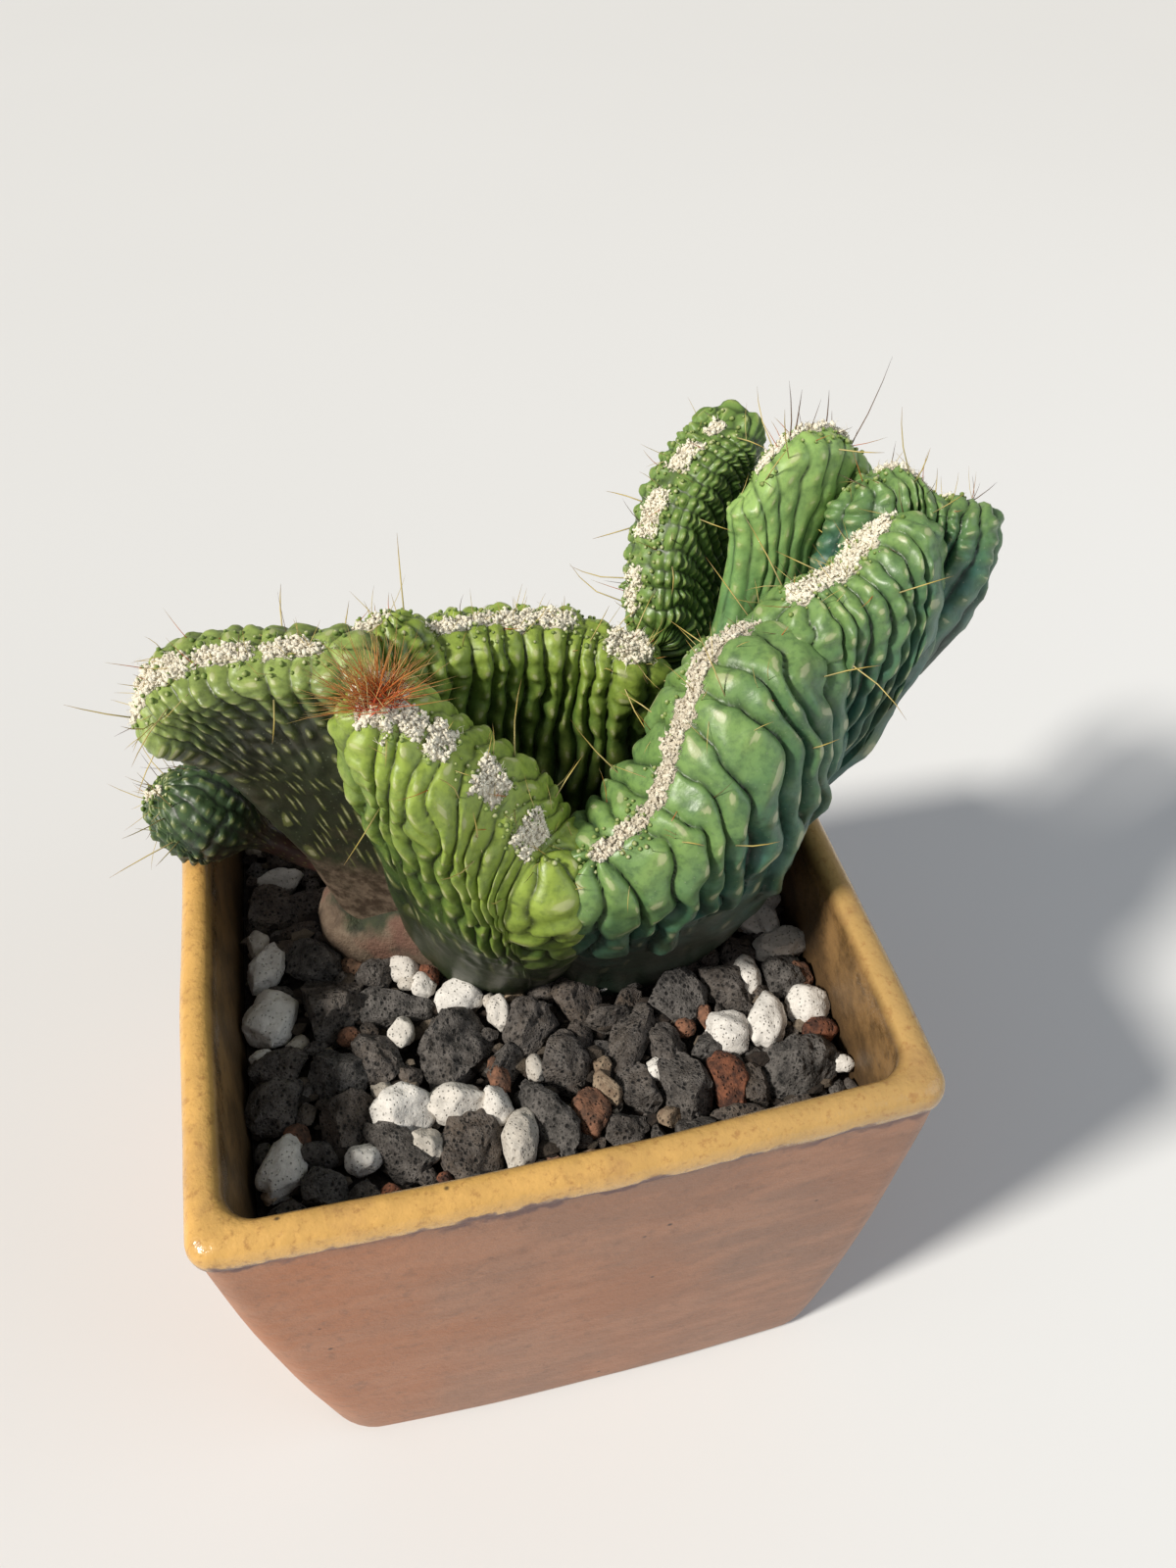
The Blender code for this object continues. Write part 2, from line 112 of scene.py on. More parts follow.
FANS = {
    "left_fan": Fan(
        root=((-19, 11, 56), (-14, 9, 56), (-8, 6, 56)),
        waist=((-28.5, 10, 94), (-24, 9, 97), (-16, 7, 95)),
        crest=((-42, 8.5, 110), (-39, 8.5, 115), (-30, 7.5, 117), (-19, 6, 117)),
        half=5.3,
        neck=0.85,
        ribs=10,
        ends=(0.9, 1.0),
        fine_ribs=11,
        per_rib=11,
        rows=72,
        rise=0.95,
        rib_start=(0.64, 0.82),
        noses=0.26,
        nose_gap=2.3,
        nose_growth=0.13,
        notch=0.16,
        # painted shade: the shaded skin and the short fresh length darken this fan below its crest
        skin="shaded",
        fresh=9.0,
        foot=1.0,
        wool=((0.1, 0.12, 1.8), (0.36, 0.14, 2.1), (0.64, 0.1, 1.4), (0.88, 0.1, 1.4)),
        beads=((0.5, 0.5, -1, 0.9), (0.5, 0.5, 1, 0.7)),
    ),
    "front_lobe": Fan(
        root=((-10, 5, 58), (-4, 3, 58), (1, 2, 58)),
        waist=((-12, -2, 93), (-7, -5, 88), (-1, -7, 82), (2, -7, 78)),
        crest=((-14, -7, 119), (-9.5, -9, 115.5), (-4.5, -11, 110), (-1, -13, 104), (1.5, -14, 98)),
        half=8.8,
        neck=0.9,
        ribs=11,
        ends=(0.7, 0.85),
        fine_ribs=10,
        per_rib=16,
        rows=78,
        fresh=22.0,
        rise=1.35,
        rib_start=(0.44, 0.6),
        noses=0.32,
        nose_gap=2.5,
        nose_growth=0.15,
        notch=0.2,
        wander=0.42,
        skin="fresh",
        wool=((0.03, 0.07, 3.0), (0.17, 0.06, 2.0), (0.31, 0.055, 2.5), (0.57, 0.075, 2.4), (0.88, 0.08, 2.7)),
        beads=((0.25, 0.3, 1, 0.8), (0.45, 0.3, -1, 0.6), (0.8, 0.2, 1, 1.4), (0.85, 0.15, -1, 1.2)),
    ),
    "middle_lobe": Fan(
        root=((-6, 9, 58), (4, 8, 58), (14, 7, 58)),
        waist=((-9, 13, 90), (4, 15, 86), (16, 13, 84)),
        crest=((-7, 13, 112), (2, 16, 110), (12, 17, 107), (20, 14, 104)),
        half=5.2,
        neck=0.9,
        ribs=9,
        fine_ribs=10,
        per_rib=11,
        rows=68,
        # partly painted shade: the short fresh length darkens this lobe soon below its crest, for its age and for the
        # shade of the fans in front
        fresh=12.0,
        rise=1.6,
        rib_start=(0.25, 0.45),
        noses=0.24,
        nose_gap=2.8,
        nose_growth=0.12,
        notch=0.14,
        wander=0.38,
        skin="fresh",
        wool=((0.2, 0.18, 1.1), (0.52, 0.16, 1.9), (0.95, 0.08, 2.9)),
        beads=((0.5, 0.5, 1, 0.5), (0.75, 0.25, 1, 1.5), (0.5, 0.5, -1, 0.7)),
    ),
    "right_lobe": Fan(
        root=((8, -3, 58), (17, -1, 58), (25, 3, 58)),
        waist=((10, -8, 79), (19, -8, 84), (28, -6, 87), (33, -1.5, 89)),
        crest=((8, -15, 97), (15, -12.5, 101), (20, -7, 108), (26, 0, 113), (36, 6, 111.5)),
        half=9.6,
        neck=0.75,
        ribs=13,
        depth=0.9,
        spines=12,
        ends=(0.75, 0.95),
        fine_ribs=9,
        per_rib=19,
        rows=82,
        fresh=17.0,
        rise=2.5,
        rib_start=(0.42, 0.74),
        noses=0.16,
        nose_gap=3.2,
        nose_growth=0.18,
        notch=0.05,
        fingers=0.8,
        wander=0.34,
        skin="glaucous",
        wool=((0.1, 0.12, 1.0), (0.34, 0.14, 1.1), (0.56, 0.14, 1.3), (0.8, 0.12, 1.7)),
        dull_wool=0.5,
        beads=((0.08, 0.12, -1, 1.4), (0.1, 0.1, 1, 1.0), (0.5, 0.5, -1, 0.35)),
    ),
    "shoulder_lobe": Fan(
        root=((14, 4, 58), (17, 6, 58)),
        waist=((36, 4, 92), (42, 4.5, 93.5), (46.5, 5.5, 96)),
        crest=((38.5, 5, 115.5), (45, 7.5, 116.5), (51, 12, 119)),
        half=7.2,
        neck=0.8,
        ribs=7,
        depth=0.85,
        fine_ribs=7,
        per_rib=15,
        rows=66,
        rise=1.7,
        rib_start=(0.4, 0.62),
        noses=0.26,
        nose_gap=2.8,
        nose_growth=0.16,
        notch=0.16,
        fingers=0.3,
        skin="glaucous",
        wool=((0.12, 0.18, 2.0), (0.5, 0.2, 2.5), (0.85, 0.16, 2.9)),
        beads=((0.5, 0.5, -1, 0.9), (0.5, 0.5, 1, 0.5)),
    ),
    "far_right_lobe": Fan(
        root=((8, 7, 58), (11, 8, 58)),
        waist=((44, 12, 96), (49, 12, 97.5), (53.5, 10, 98.5)),
        crest=((52.5, 20, 121), (57, 20, 121.5), (60.5, 18, 119.5), (63, 15.5, 116)),
        half=6.4,
        neck=0.9,
        ribs=8,
        depth=0.85,
        ends=(0.9, 0.9),
        fine_ribs=7,
        fine_ends=4,
        rows=58,
        top_rows=20,
        rise=1.5,
        rib_start=(0.4, 0.6),
        noses=0.28,
        nose_gap=2.6,
        nose_growth=0.14,
        notch=0.2,
        skin="glaucous",
        wool=((0.35, 0.22, 1.7), (0.75, 0.16, 1.2)),
        beads=((0.5, 0.5, 1, 0.8), (0.5, 0.5, -1, 0.8)),
    ),
    "paddle": Fan(
        root=((20, 10, 60), (25, 11, 60)),
        waist=((34.5, 17, 99), (41, 19, 98)),
        crest=((37, 22, 119), (41, 23.5, 125), (48.5, 25.5, 126), (54, 27, 121)),
        half=3.8,
        neck=1.1,
        ribs=6,
        depth=0.5,
        ends=(0.75, 0.9),
        spines=4,
        fine_ribs=6,
        per_rib=11,
        rows=52,
        top_rows=18,
        fresh=30.0,
        rise=0.6,
        rib_start=(0.3, 0.6),
        noses=0.1,
        nose_gap=3.0,
        nose_growth=0.1,
        notch=0.1,
        wander=0.22,
        skin="pale",
        wool=((0.35, 0.2, 0.8), (0.7, 0.2, 0.9)),
        beads=((0.5, 0.5, 1, 0.5), (0.5, 0.5, -1, 0.5)),
        hairs=15,
    ),
    "back_lobe": Fan(
        root=((20, 13, 62), (22, 15, 64), (24, 16, 66)),
        waist=((29, 24, 92), (33, 29, 99), (37, 33, 103)),
        crest=((22.5, 24, 102), (24, 27, 109), (28, 31, 116), (33, 34, 120.5), (37.5, 36, 122)),
        half=5.4,
        neck=0.9,
        ribs=9,
        fine_ribs=12,
        per_rib=10,
        rows=58,
        top_rows=20,
        fresh=14.0,
        rise=0.5,
        rib_start=(0.2, 0.4),
        noses=0.62,
        nose_gap=1.3,
        nose_growth=0.04,
        notch=0.75,
        skin="warted",
        wool=((0.1, 0.1, 1.2), (0.42, 0.09, 2.0), (0.7, 0.09, 1.7), (0.95, 0.06, 1.0)),
        beads=((0.5, 0.5, 1, 1.6), (0.5, 0.5, -1, 1.4)),
        hairs=20,
    ),
    "small_knob": Fan(
        root=((-14, 10, 88), (-11, 10, 88)),
        waist=((-15, 11, 102), (-11, 11, 102)),
        crest=((-16, 12, 114), (-12, 13, 115)),
        half=4.6,
        neck=0.9,
        ribs=3,
        depth=0.5,
        spines=2,
        fine_ribs=3,
        fine_ends=5,
        per_rib=8,
        rows=40,
        top_rows=18,
        rise=0.6,
        rib_start=(0.1, 0.3),
        noses=0.45,
        nose_gap=1.4,
        notch=0.5,
        skin="fresh",
        wool=((0.5, 0.5, 1.1),),
        beads=((0.5, 0.5, 1, 1.4), (0.5, 0.5, -1, 1.4)),
        hairs=10,
    ),
    "offset_ball": Fan(
        root=((-22, 11, 72), (-21, 11, 72)),
        waist=((-33, 13.5, 80.5), (-32.5, 13, 80.5)),
        crest=((-46.5, 15.5, 89.5), (-44.5, 15, 91)),
        half=6.5,
        neck=0.3,
        ribs=3,
        end_ribs=6,
        depth=0.4,
        flare=0.66,
        spines=6,
        fine_ribs=3,
        fine_ends=8,
        per_rib=8,
        rows=44,
        top_rows=18,
        fresh=10.0,
        rise=0.35,
        rib_start=(0.66, 0.75),
        noses=0.5,
        nose_gap=1.5,
        nose_growth=0.02,
        notch=0.6,
        skin="dark",
        wool=((0.5, 0.5, 0.8),),
        beads=((0.5, 0.5, 1, 1.2), (0.5, 0.5, -1, 1.2)),
        hairs=25,
    ),
}

TRUNK = Fan(
    root=((-18, 10, 46), (-6, 6, 45), (6, 2, 45), (15, 1, 45), (24, 4, 46)),
    waist=((-21, 11, 60), (-8, 5, 60), (5, 1, 60), (16, 0, 60), (27, 4, 60)),
    crest=((-21, 10, 68), (-9, 5, 75), (5, 2, 78), (17, 1, 78), (27, 4, 76)),
    half=7.0,
    neck=0.8,
    ribs=8,
    end_ribs=4,
    depth=0.0,
    fine_ribs=12,
    fine_ends=5,
    per_rib=6,
    rows=30,
    top_rows=10,
    rise=0.2,
    rib_start=(0.0, 0.1),
    noses=0.0,
    notch=0.0,
    fresh=3.0,
    skin="corky",
    hairs=0,
)

TUBERCLE_SPACING = 3.4
TUBERCLE_HEIGHT = 0.25
RIB_START = 0.3
RIB_FULL = 0.65
CREST_FADE = 0.45
SPINE_LENGTHS = (5.5, 10.0)
SPINE_LEAN = 0.45
SPINE_LEVELS = (0.9, 1.75)
SPINE_SEED = 23
LOWEST_SPINE_TIP = 84.0
CROWN_SPINES = 15
CROWN_PLACE = (-14.3, -7.5, 120.0)
CROWN_ACROSS = (0.95, 0.1, -0.1)
CROWN_UP = (0.0, 0.6, 0.8)
CROWN_FORWARD = (-0.2, -0.7, 0.6)
CROWN_TILTS = (0.25, 0.8, -0.35)
CROWN_LENGTHS = (6.5, 9.0)
BRUSH_SPINES = 240
TALL_SPINES = (
    ((43.0, 24.0, 125.0), (-0.1, 0.1, 1.0), 10.5),
    ((43.6, 24.3, 125.2), (0.12, 0.2, 0.9), 6.5),
    ((48.5, 25.7, 125.4), (0.1, 0.35, 0.9), 5.0),
    ((53.0, 27.0, 121.5), (0.4, 0.15, 0.95), 12.5),
    ((65.4, 16.5, 117.0), (0.75, -0.1, 0.65), 6.5),
)

# Skins: old, mature and young skin, then how much blue bloom
SKINS = {
    "fresh": ((0.02, 0.028, 0.012), (0.085, 0.15, 0.022), (0.3, 0.4, 0.06), 0.08),
    "warted": ((0.02, 0.035, 0.012), (0.06, 0.125, 0.025), (0.17, 0.28, 0.06), 0.1),
    # the left fan's skin: its dark old and mature colours are painted shade under its overhanging crest
    "shaded": ((0.03, 0.03, 0.015), (0.05, 0.07, 0.02), (0.31, 0.41, 0.1), 0.05),
    "glaucous": ((0.022, 0.03, 0.018), (0.034, 0.105, 0.055), (0.2, 0.33, 0.09), 0.85),
    "pale": ((0.04, 0.09, 0.04), (0.15, 0.3, 0.1), (0.31, 0.48, 0.13), 0.35),
    "dark": ((0.08, 0.032, 0.026), (0.02, 0.045, 0.016), (0.06, 0.11, 0.035), 0.1),
    "corky": ((0.15, 0.1, 0.066), (0.105, 0.075, 0.05), (0.03, 0.036, 0.018), 0.0),
}

# The pot, as in the solids but finer
RIM_HALF = 45.2
FOOT_HALF = 41.6
POT_HEIGHT = 78.0
WALL = 3.9
FLOOR = 5.0
SIDE_BOW = 0.8
RIM_CORNER = 3.2
FOOT_CORNER = 9.0
WALL_CURVE = 1.82
INNER_RIM_CORNER = 4.5
INNER_FOOT_CORNER = 8.0
FOOT_ROUNDING = 2.0
OUTER_PROFILE = (
    (0.0, -1.8), (0.35, -1.05), (1.0, -0.5), (2.0, -0.12), (3.0, 0.0), (8.0, 0.0), (14.0, 0.0), (21.0, 0.0),
    (28.0, 0.0), (35.0, 0.0), (42.0, 0.0), (49.0, 0.0), (56.0, 0.0), (62.0, 0.0), (68.0, 0.0), (71.5, -0.04),
)
LIP_PROFILE = (
    (73.4, -0.1), (74.0, 0.12), (74.6, 0.33), (75.6, 0.36), (76.6, 0.22), (77.2, -0.12), (77.6, -0.55),
    (77.88, -1.1), (77.98, -1.8),
)
INNER_PROFILE = (
    (77.9, 1.4), (77.6, 0.8), (77.1, 0.35), (76.3, 0.1), (74.0, 0.0), (70.0, 0.0), (64.0, 0.0), (58.0, 0.0),
    (50.0, 0.0), (26.0, 0.0), (8.0, 0.0),
)
GRIT_LEVEL = 60.5

# Stones that the photo shows plainly: x, y, half size, stretch, turn in degrees
WHITE_STONES = (
    (-17, 2, 3.0, 1.2, 90), (-10, -6, 3.2, 1.2, 20), (-5, -10, 2.2, 1.3, 90), (-37, 5, 3.1, 1.4, 60),
    (-38, 10, 1.9, 1.2, 90), (-37, -4, 4.0, 1.2, 60), (-38, -10, 1.5, 1.2, 0), (-19, -10, 2.1, 1.1, 90),
    (-20, -22, 3.8, 1.1, -25), (-13, -23, 3.2, 1.3, -15), (-8, -24, 2.6, 1.2, 90), (-6, -30, 3.0, 1.4, 70),
    (-18, -28, 2.5, 1.0, -20), (-36, -27, 3.4, 1.3, 70), (-26, -28, 2.2, 1.1, 0), (-15, -3, 2.0, 1.2, 90),
    (-17, -2, 1.3, 1.3, -10), (25, -21, 3.4, 1.0, 0), (31, -20, 3.4, 1.3, 70), (38, -19, 3.1, 1.0, 90),
    (39, -8, 3.0, 1.5, 8), (37, -3, 2.4, 1.4, -90), (34, -3, 1.9, 1.4, -60), (31, -12, 2.3, 1.4, -90),
    (39, -29, 1.4, 1.2, -10), (-2, -20, 1.7, 1.2, 90), (39.5, 1, 2.4, 1.3, -90), (-1, -27, 1.3, 1.7, -90),
    (-30, -36, 1.6, 1.2, 0), (14, -24, 1.6, 1.1, 40),
)
LAVA_STONES = (
    (-13, -14, 6.1, 1.0, 90), (-28, -4, 5.8, 1.1, 90), (33, -28, 5.4, 1.1, 0), (-12, -29, 4.6, 1.1, 90),
    (27, -12, 4.5, 1.3, -80), (20, -13, 4.5, 1.1, 90), (-30, 5, 4.5, 1.0, 0), (17, -28, 4.4, 1.3, -80),
    (-1, -13, 4.3, 1.1, 90), (2, -20, 4.3, 1.2, 90), (-20, -5, 4.2, 1.5, -12), (-37, 17, 4.1, 1.1, 90),
    (-28, -14, 4.3, 1.0, 0), (-37, -17, 4.1, 1.1, 45), (-28, -22, 4.2, 1.2, 50), (-21, -28, 4.0, 1.7, -55),
    (-1, -28, 4.0, 1.7, -65), (6, -10, 3.8, 1.1, 90), (-23, -13, 3.7, 1.3, -60), (12, -18, 3.7, 1.7, 60),
    (36, -13, 3.6, 1.0, 90), (-36, -12, 3.4, 1.3, 10), (-31, -31, 3.6, 1.0, 0), (16, -21, 3.5, 1.2, 90),
    (11, -26, 3.3, 1.4, -80), (-21, 1, 2.8, 1.2, 20), (9, -14, 2.8, 1.4, 0), (26, -29, 3.0, 1.1, 90),
    (8, -31, 2.6, 1.1, 0), (-26, -33, 2.4, 1.0, 0), (-19, -17, 1.9, 1.0, 0), (-36, -33, 2.0, 1.3, 0),
    (22, -22, 3.2, 1.2, 30), (-6, -18, 2.8, 1.2, 60), (30, -34, 2.6, 1.3, 10), (-14, -35, 2.6, 1.2, 20),
)
RED_STONES = (
    (23, -28, 3.5, 1.4, -90), (38, -14, 2.4, 1.1, 90), (38, -23, 2.1, 1.2, -10), (-7, -20, 1.9, 1.7, -80),
    (7, -22, 1.7, 1.3, 90), (-14, -1, 1.9, 1.5, -90), (4, -28, 3.0, 1.2, 90), (-23, -33, 1.3, 1.1, 0),
    (-16, -33, 1.2, 1.1, 0), (-38, -30, 1.3, 1.2, 90), (23, -17, 1.6, 1.5, -90), (7, -25, 2.2, 1.4, -80),
    (14, -31, 1.7, 1.2, 30), (-26, -9, 1.6, 1.2, 0),
)
STONE_PULL_DOWN = 0.12


def spline(points, t):
    """Points on the smooth curve through the given ones, for t from 0 to 1."""
    known = np.array(points, float)
    ends = np.vstack([2 * known[0] - known[1], known, 2 * known[-1] - known[-2]])
    spans = len(known) - 1
    along = np.clip(t, 0, 1) * spans
    first = np.minimum(along.astype(int), spans - 1)
    f = (along - first)[..., None]
    a, b, c, d = ends[first], ends[first + 1], ends[first + 2], ends[first + 3]
    return 0.5 * (2 * b + (c - a) * f + (2 * a - 5 * b + 4 * c - d) * f**2 + (3 * b - a - 3 * c + d) * f**3)


def unit(vectors):
    return vectors / np.maximum(np.linalg.norm(vectors, axis=-1, keepdims=True), 1e-9)


def sheet_point(fan, u, s):
    """The middle of the fan at u along it and s up it, on a curve from root through waist to crest."""
    s = s[..., None]
    low = spline(fan.root, u) * (1 - s) * (1 - 2 * s)
    middle = spline(fan.waist, u) * 4 * s * (1 - s)
    return low + middle + spline(fan.crest, u) * s * (2 * s - 1)


def sheet_frame(fan, u, s):
    """The middle point, the way across the fan, the way along it and the way up it."""
    step = 0.02
    point = sheet_point(fan, u, s)
    along = sheet_point(fan, u + step, s) - sheet_point(fan, u - step, s)
    up = unit(sheet_point(fan, u, s + step) - sheet_point(fan, u, s - step))
    across = unit(np.cross(along, up))
    return point, across, np.cross(up, across), up


def smooth(x):
    x = np.clip(x, 0, 1)
    return x * x * (3 - 2 * x)


def taper(fan, u):
    """The share of the full thickness that is left towards each end of the crest."""
    first, last = fan.ends
    return 1 - (1 - first) * (1 - u) ** 3 - (1 - last) * u**3


def plain_surface(fan, column, level, ribs, ends):
    """Points round the fan without relief, the way each faces, and where each lies on the fan."""
    second = column - ribs - ends
    third = second - ribs
    u = np.where(column < ribs, column / ribs, 1.0)
    u = np.where(second > 0, 1 - np.clip(second / ribs, 0, 1), u)
    turn = np.where(column < ribs, 0.0, np.clip((column - ribs) / ends, 0, 1) * math.pi)
    turn = np.where(third > 0, math.pi + np.clip(third / ends, 0, 1) * math.pi, turn)
    length = np.linalg.norm(spline(fan.crest, u) - spline(fan.root, u), axis=-1)
    shoulder = 1 - fan.half / length
    body = np.clip(level, 0, 1)
    round_angle = np.clip(level - 1, 0, 1) * math.pi / 2
    s = shoulder * body + (1 - shoulder) * np.sin(round_angle)
    swell = fan.neck + (1 - fan.neck) * smooth((body - fan.flare) * 1.15 / (1 - fan.flare))
    thickness = fan.half * taper(fan, u) * swell * np.cos(round_angle)
    point, across, along, up = sheet_frame(fan, u, s)
    outward = across * np.cos(turn)[..., None] + along * np.sin(turn)[..., None]
    surface = point + outward * thickness[..., None]
    facing = unit(outward * np.cos(round_angle)[..., None] + up * np.sin(round_angle)[..., None])
    return surface, facing, {"u": u, "s": s, "body": body, "angle": round_angle, "length": length}


def solid_surface(fan, column, level):
    """The same point as on the solid, which the main spines stand on."""
    column, level = np.array([[float(column)]]), np.array([[float(level)]])
    surface, facing, at = plain_surface(fan, column, level, fan.ribs, fan.end_ribs)
    wave = 2 * np.abs(np.cos(np.pi * column)) - 1
    rise = smooth((at["body"] - RIB_START) / (RIB_FULL - RIB_START))
    fade = rise * (1 - CREST_FADE * np.sin(at["angle"]))
    bumps = np.cos(2 * np.pi * at["s"] * at["length"] / TUBERCLE_SPACING + np.pi * np.round(column)) * (wave > 0)
    height = fade * (fan.depth * wave + TUBERCLE_HEIGHT * bumps)
    return (surface + facing * height[..., None])[0, 0], facing[0, 0]


def ripple(points, wavelength, seed):
    """A soft noise from -1 to 1 over points in millimetres."""
    rng = np.random.default_rng(seed)
    total = np.zeros(points.shape[:-1])
    for _ in range(9):
        way = unit(rng.normal(size=3)) * 2 * math.pi / (wavelength * rng.uniform(0.7, 1.5))
        total += np.sin(points @ way + rng.uniform(0, 2 * math.pi))
    return total / 4.5


def deselect():
    if bpy.context.mode != "OBJECT":
        bpy.ops.object.mode_set(mode="OBJECT")
    bpy.ops.object.select_all(action="DESELECT")


def take(thing):
    """Makes one object the selected and active one."""
    deselect()
    thing.select_set(True)
    bpy.context.view_layer.objects.active = thing


def settle(thing, finish, node, smooth_angle=None):
    """Gives a finished piece its finish and its body, and hides the imported node that it stands for."""
    thing.data.materials.clear()
    thing.data.materials.append(finish)
    take(thing)
    if smooth_angle is None:
        bpy.ops.object.shade_smooth()
    else:
        bpy.ops.object.shade_smooth_by_angle(angle=math.radians(smooth_angle))
    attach(thing, "root")
    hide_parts(node)
    return thing


def grid_piece(name, points):
    """A closed piece from a grid whose last column meets its first; points are rows x columns x 3, in mm."""
    rows, columns = points.shape[:2]
    deselect()
    bpy.ops.mesh.primitive_grid_add(x_subdivisions=columns, y_subdivisions=rows - 1, size=1, calc_uvs=False)
    thing = bpy.context.active_object
    thing.name = name
    thing.data.name = name
    wrapped = np.concatenate([points, points[:, :1]], axis=1)
    thing.location = (0, 0, 0)
    thing.data.vertices.foreach_set("co", (wrapped.reshape(-1, 3) * MM).astype(np.float32).ravel())
    return thing


def close_piece(thing):
    """Merges the seam and the flattened ends and turns the faces outwards."""
    take(thing)
    bpy.ops.object.mode_set(mode="EDIT")
    bpy.ops.mesh.select_all(action="SELECT")
    bpy.ops.mesh.remove_doubles(threshold=0.000004)
    bpy.ops.mesh.normals_make_consistent(inside=False)
    bpy.ops.object.mode_set(mode="OBJECT")
    return thing


def set_marks(thing, marks):
    """Adds one number a point for each named mark."""
    for name, values in marks.items():
        mark = thing.data.attributes.new(name, "FLOAT", "POINT")
        mark.data.foreach_set("value", np.asarray(values, np.float32).ravel())


def gather(name, parts, marks):
    """One object from many small shapes: parts are (points, triangles), marks are {name: value of each part}."""
    counts = [len(points) for points, _ in parts]
    starts = np.concatenate([[0], np.cumsum(counts)[:-1]])
    points = np.concatenate([points for points, _ in parts]) * MM
    faces = np.concatenate([triangles + start for (_, triangles), start in zip(parts, starts)])
    mesh = bpy.data.meshes.new(name)
    mesh.vertices.add(len(points))
    mesh.vertices.foreach_set("co", points.astype(np.float32).ravel())
    mesh.loops.add(faces.size)
    mesh.loops.foreach_set("vertex_index", faces.astype(np.int32).ravel())
    mesh.polygons.add(len(faces))
    mesh.polygons.foreach_set("loop_start", np.arange(0, faces.size, 3, dtype=np.int32))
    mesh.update(calc_edges=True)
    mesh.validate()
    thing = bpy.data.objects.new(name, mesh)
    bpy.context.scene.collection.objects.link(thing)
    for mark, values in marks.items():
        each = [np.full(count, value) if np.ndim(value) == 0 else value for count, value in zip(counts, values)]
        set_marks(thing, {mark: np.concatenate(each)})
    return thing


def ico(subdivisions):
    """Points and triangles of a unit ball, made once for each fineness."""
    if subdivisions not in ICO_FACES:
        deselect()
        bpy.ops.mesh.primitive_ico_sphere_add(subdivisions=subdivisions, radius=1)
        ball = bpy.context.active_object
        points = np.empty(len(ball.data.vertices) * 3)
        ball.data.vertices.foreach_get("co", points)
        faces = np.empty(len(ball.data.polygons) * 3, np.int32)
        ball.data.polygons.foreach_get("vertices", faces)
        ICO_FACES[subdivisions] = (points.reshape(-1, 3), faces.reshape(-1, 3))
        bpy.data.objects.remove(ball)
    return ICO_FACES[subdivisions]


def turned(points, rng):
    """Points turned at random about the origin."""
    q = unit(np.array([rng.gauss(0, 1) for _ in range(4)]))
    w, x, y, z = q
    matrix = np.array(
        [
            [1 - 2 * (y * y + z * z), 2 * (x * y - w * z), 2 * (x * z + w * y)],
            [2 * (x * y + w * z), 1 - 2 * (x * x + z * z), 2 * (y * z - w * x)],
            [2 * (x * z - w * y), 2 * (y * z + w * x), 1 - 2 * (x * x + y * y)],
        ]
    )
    return points @ matrix.T


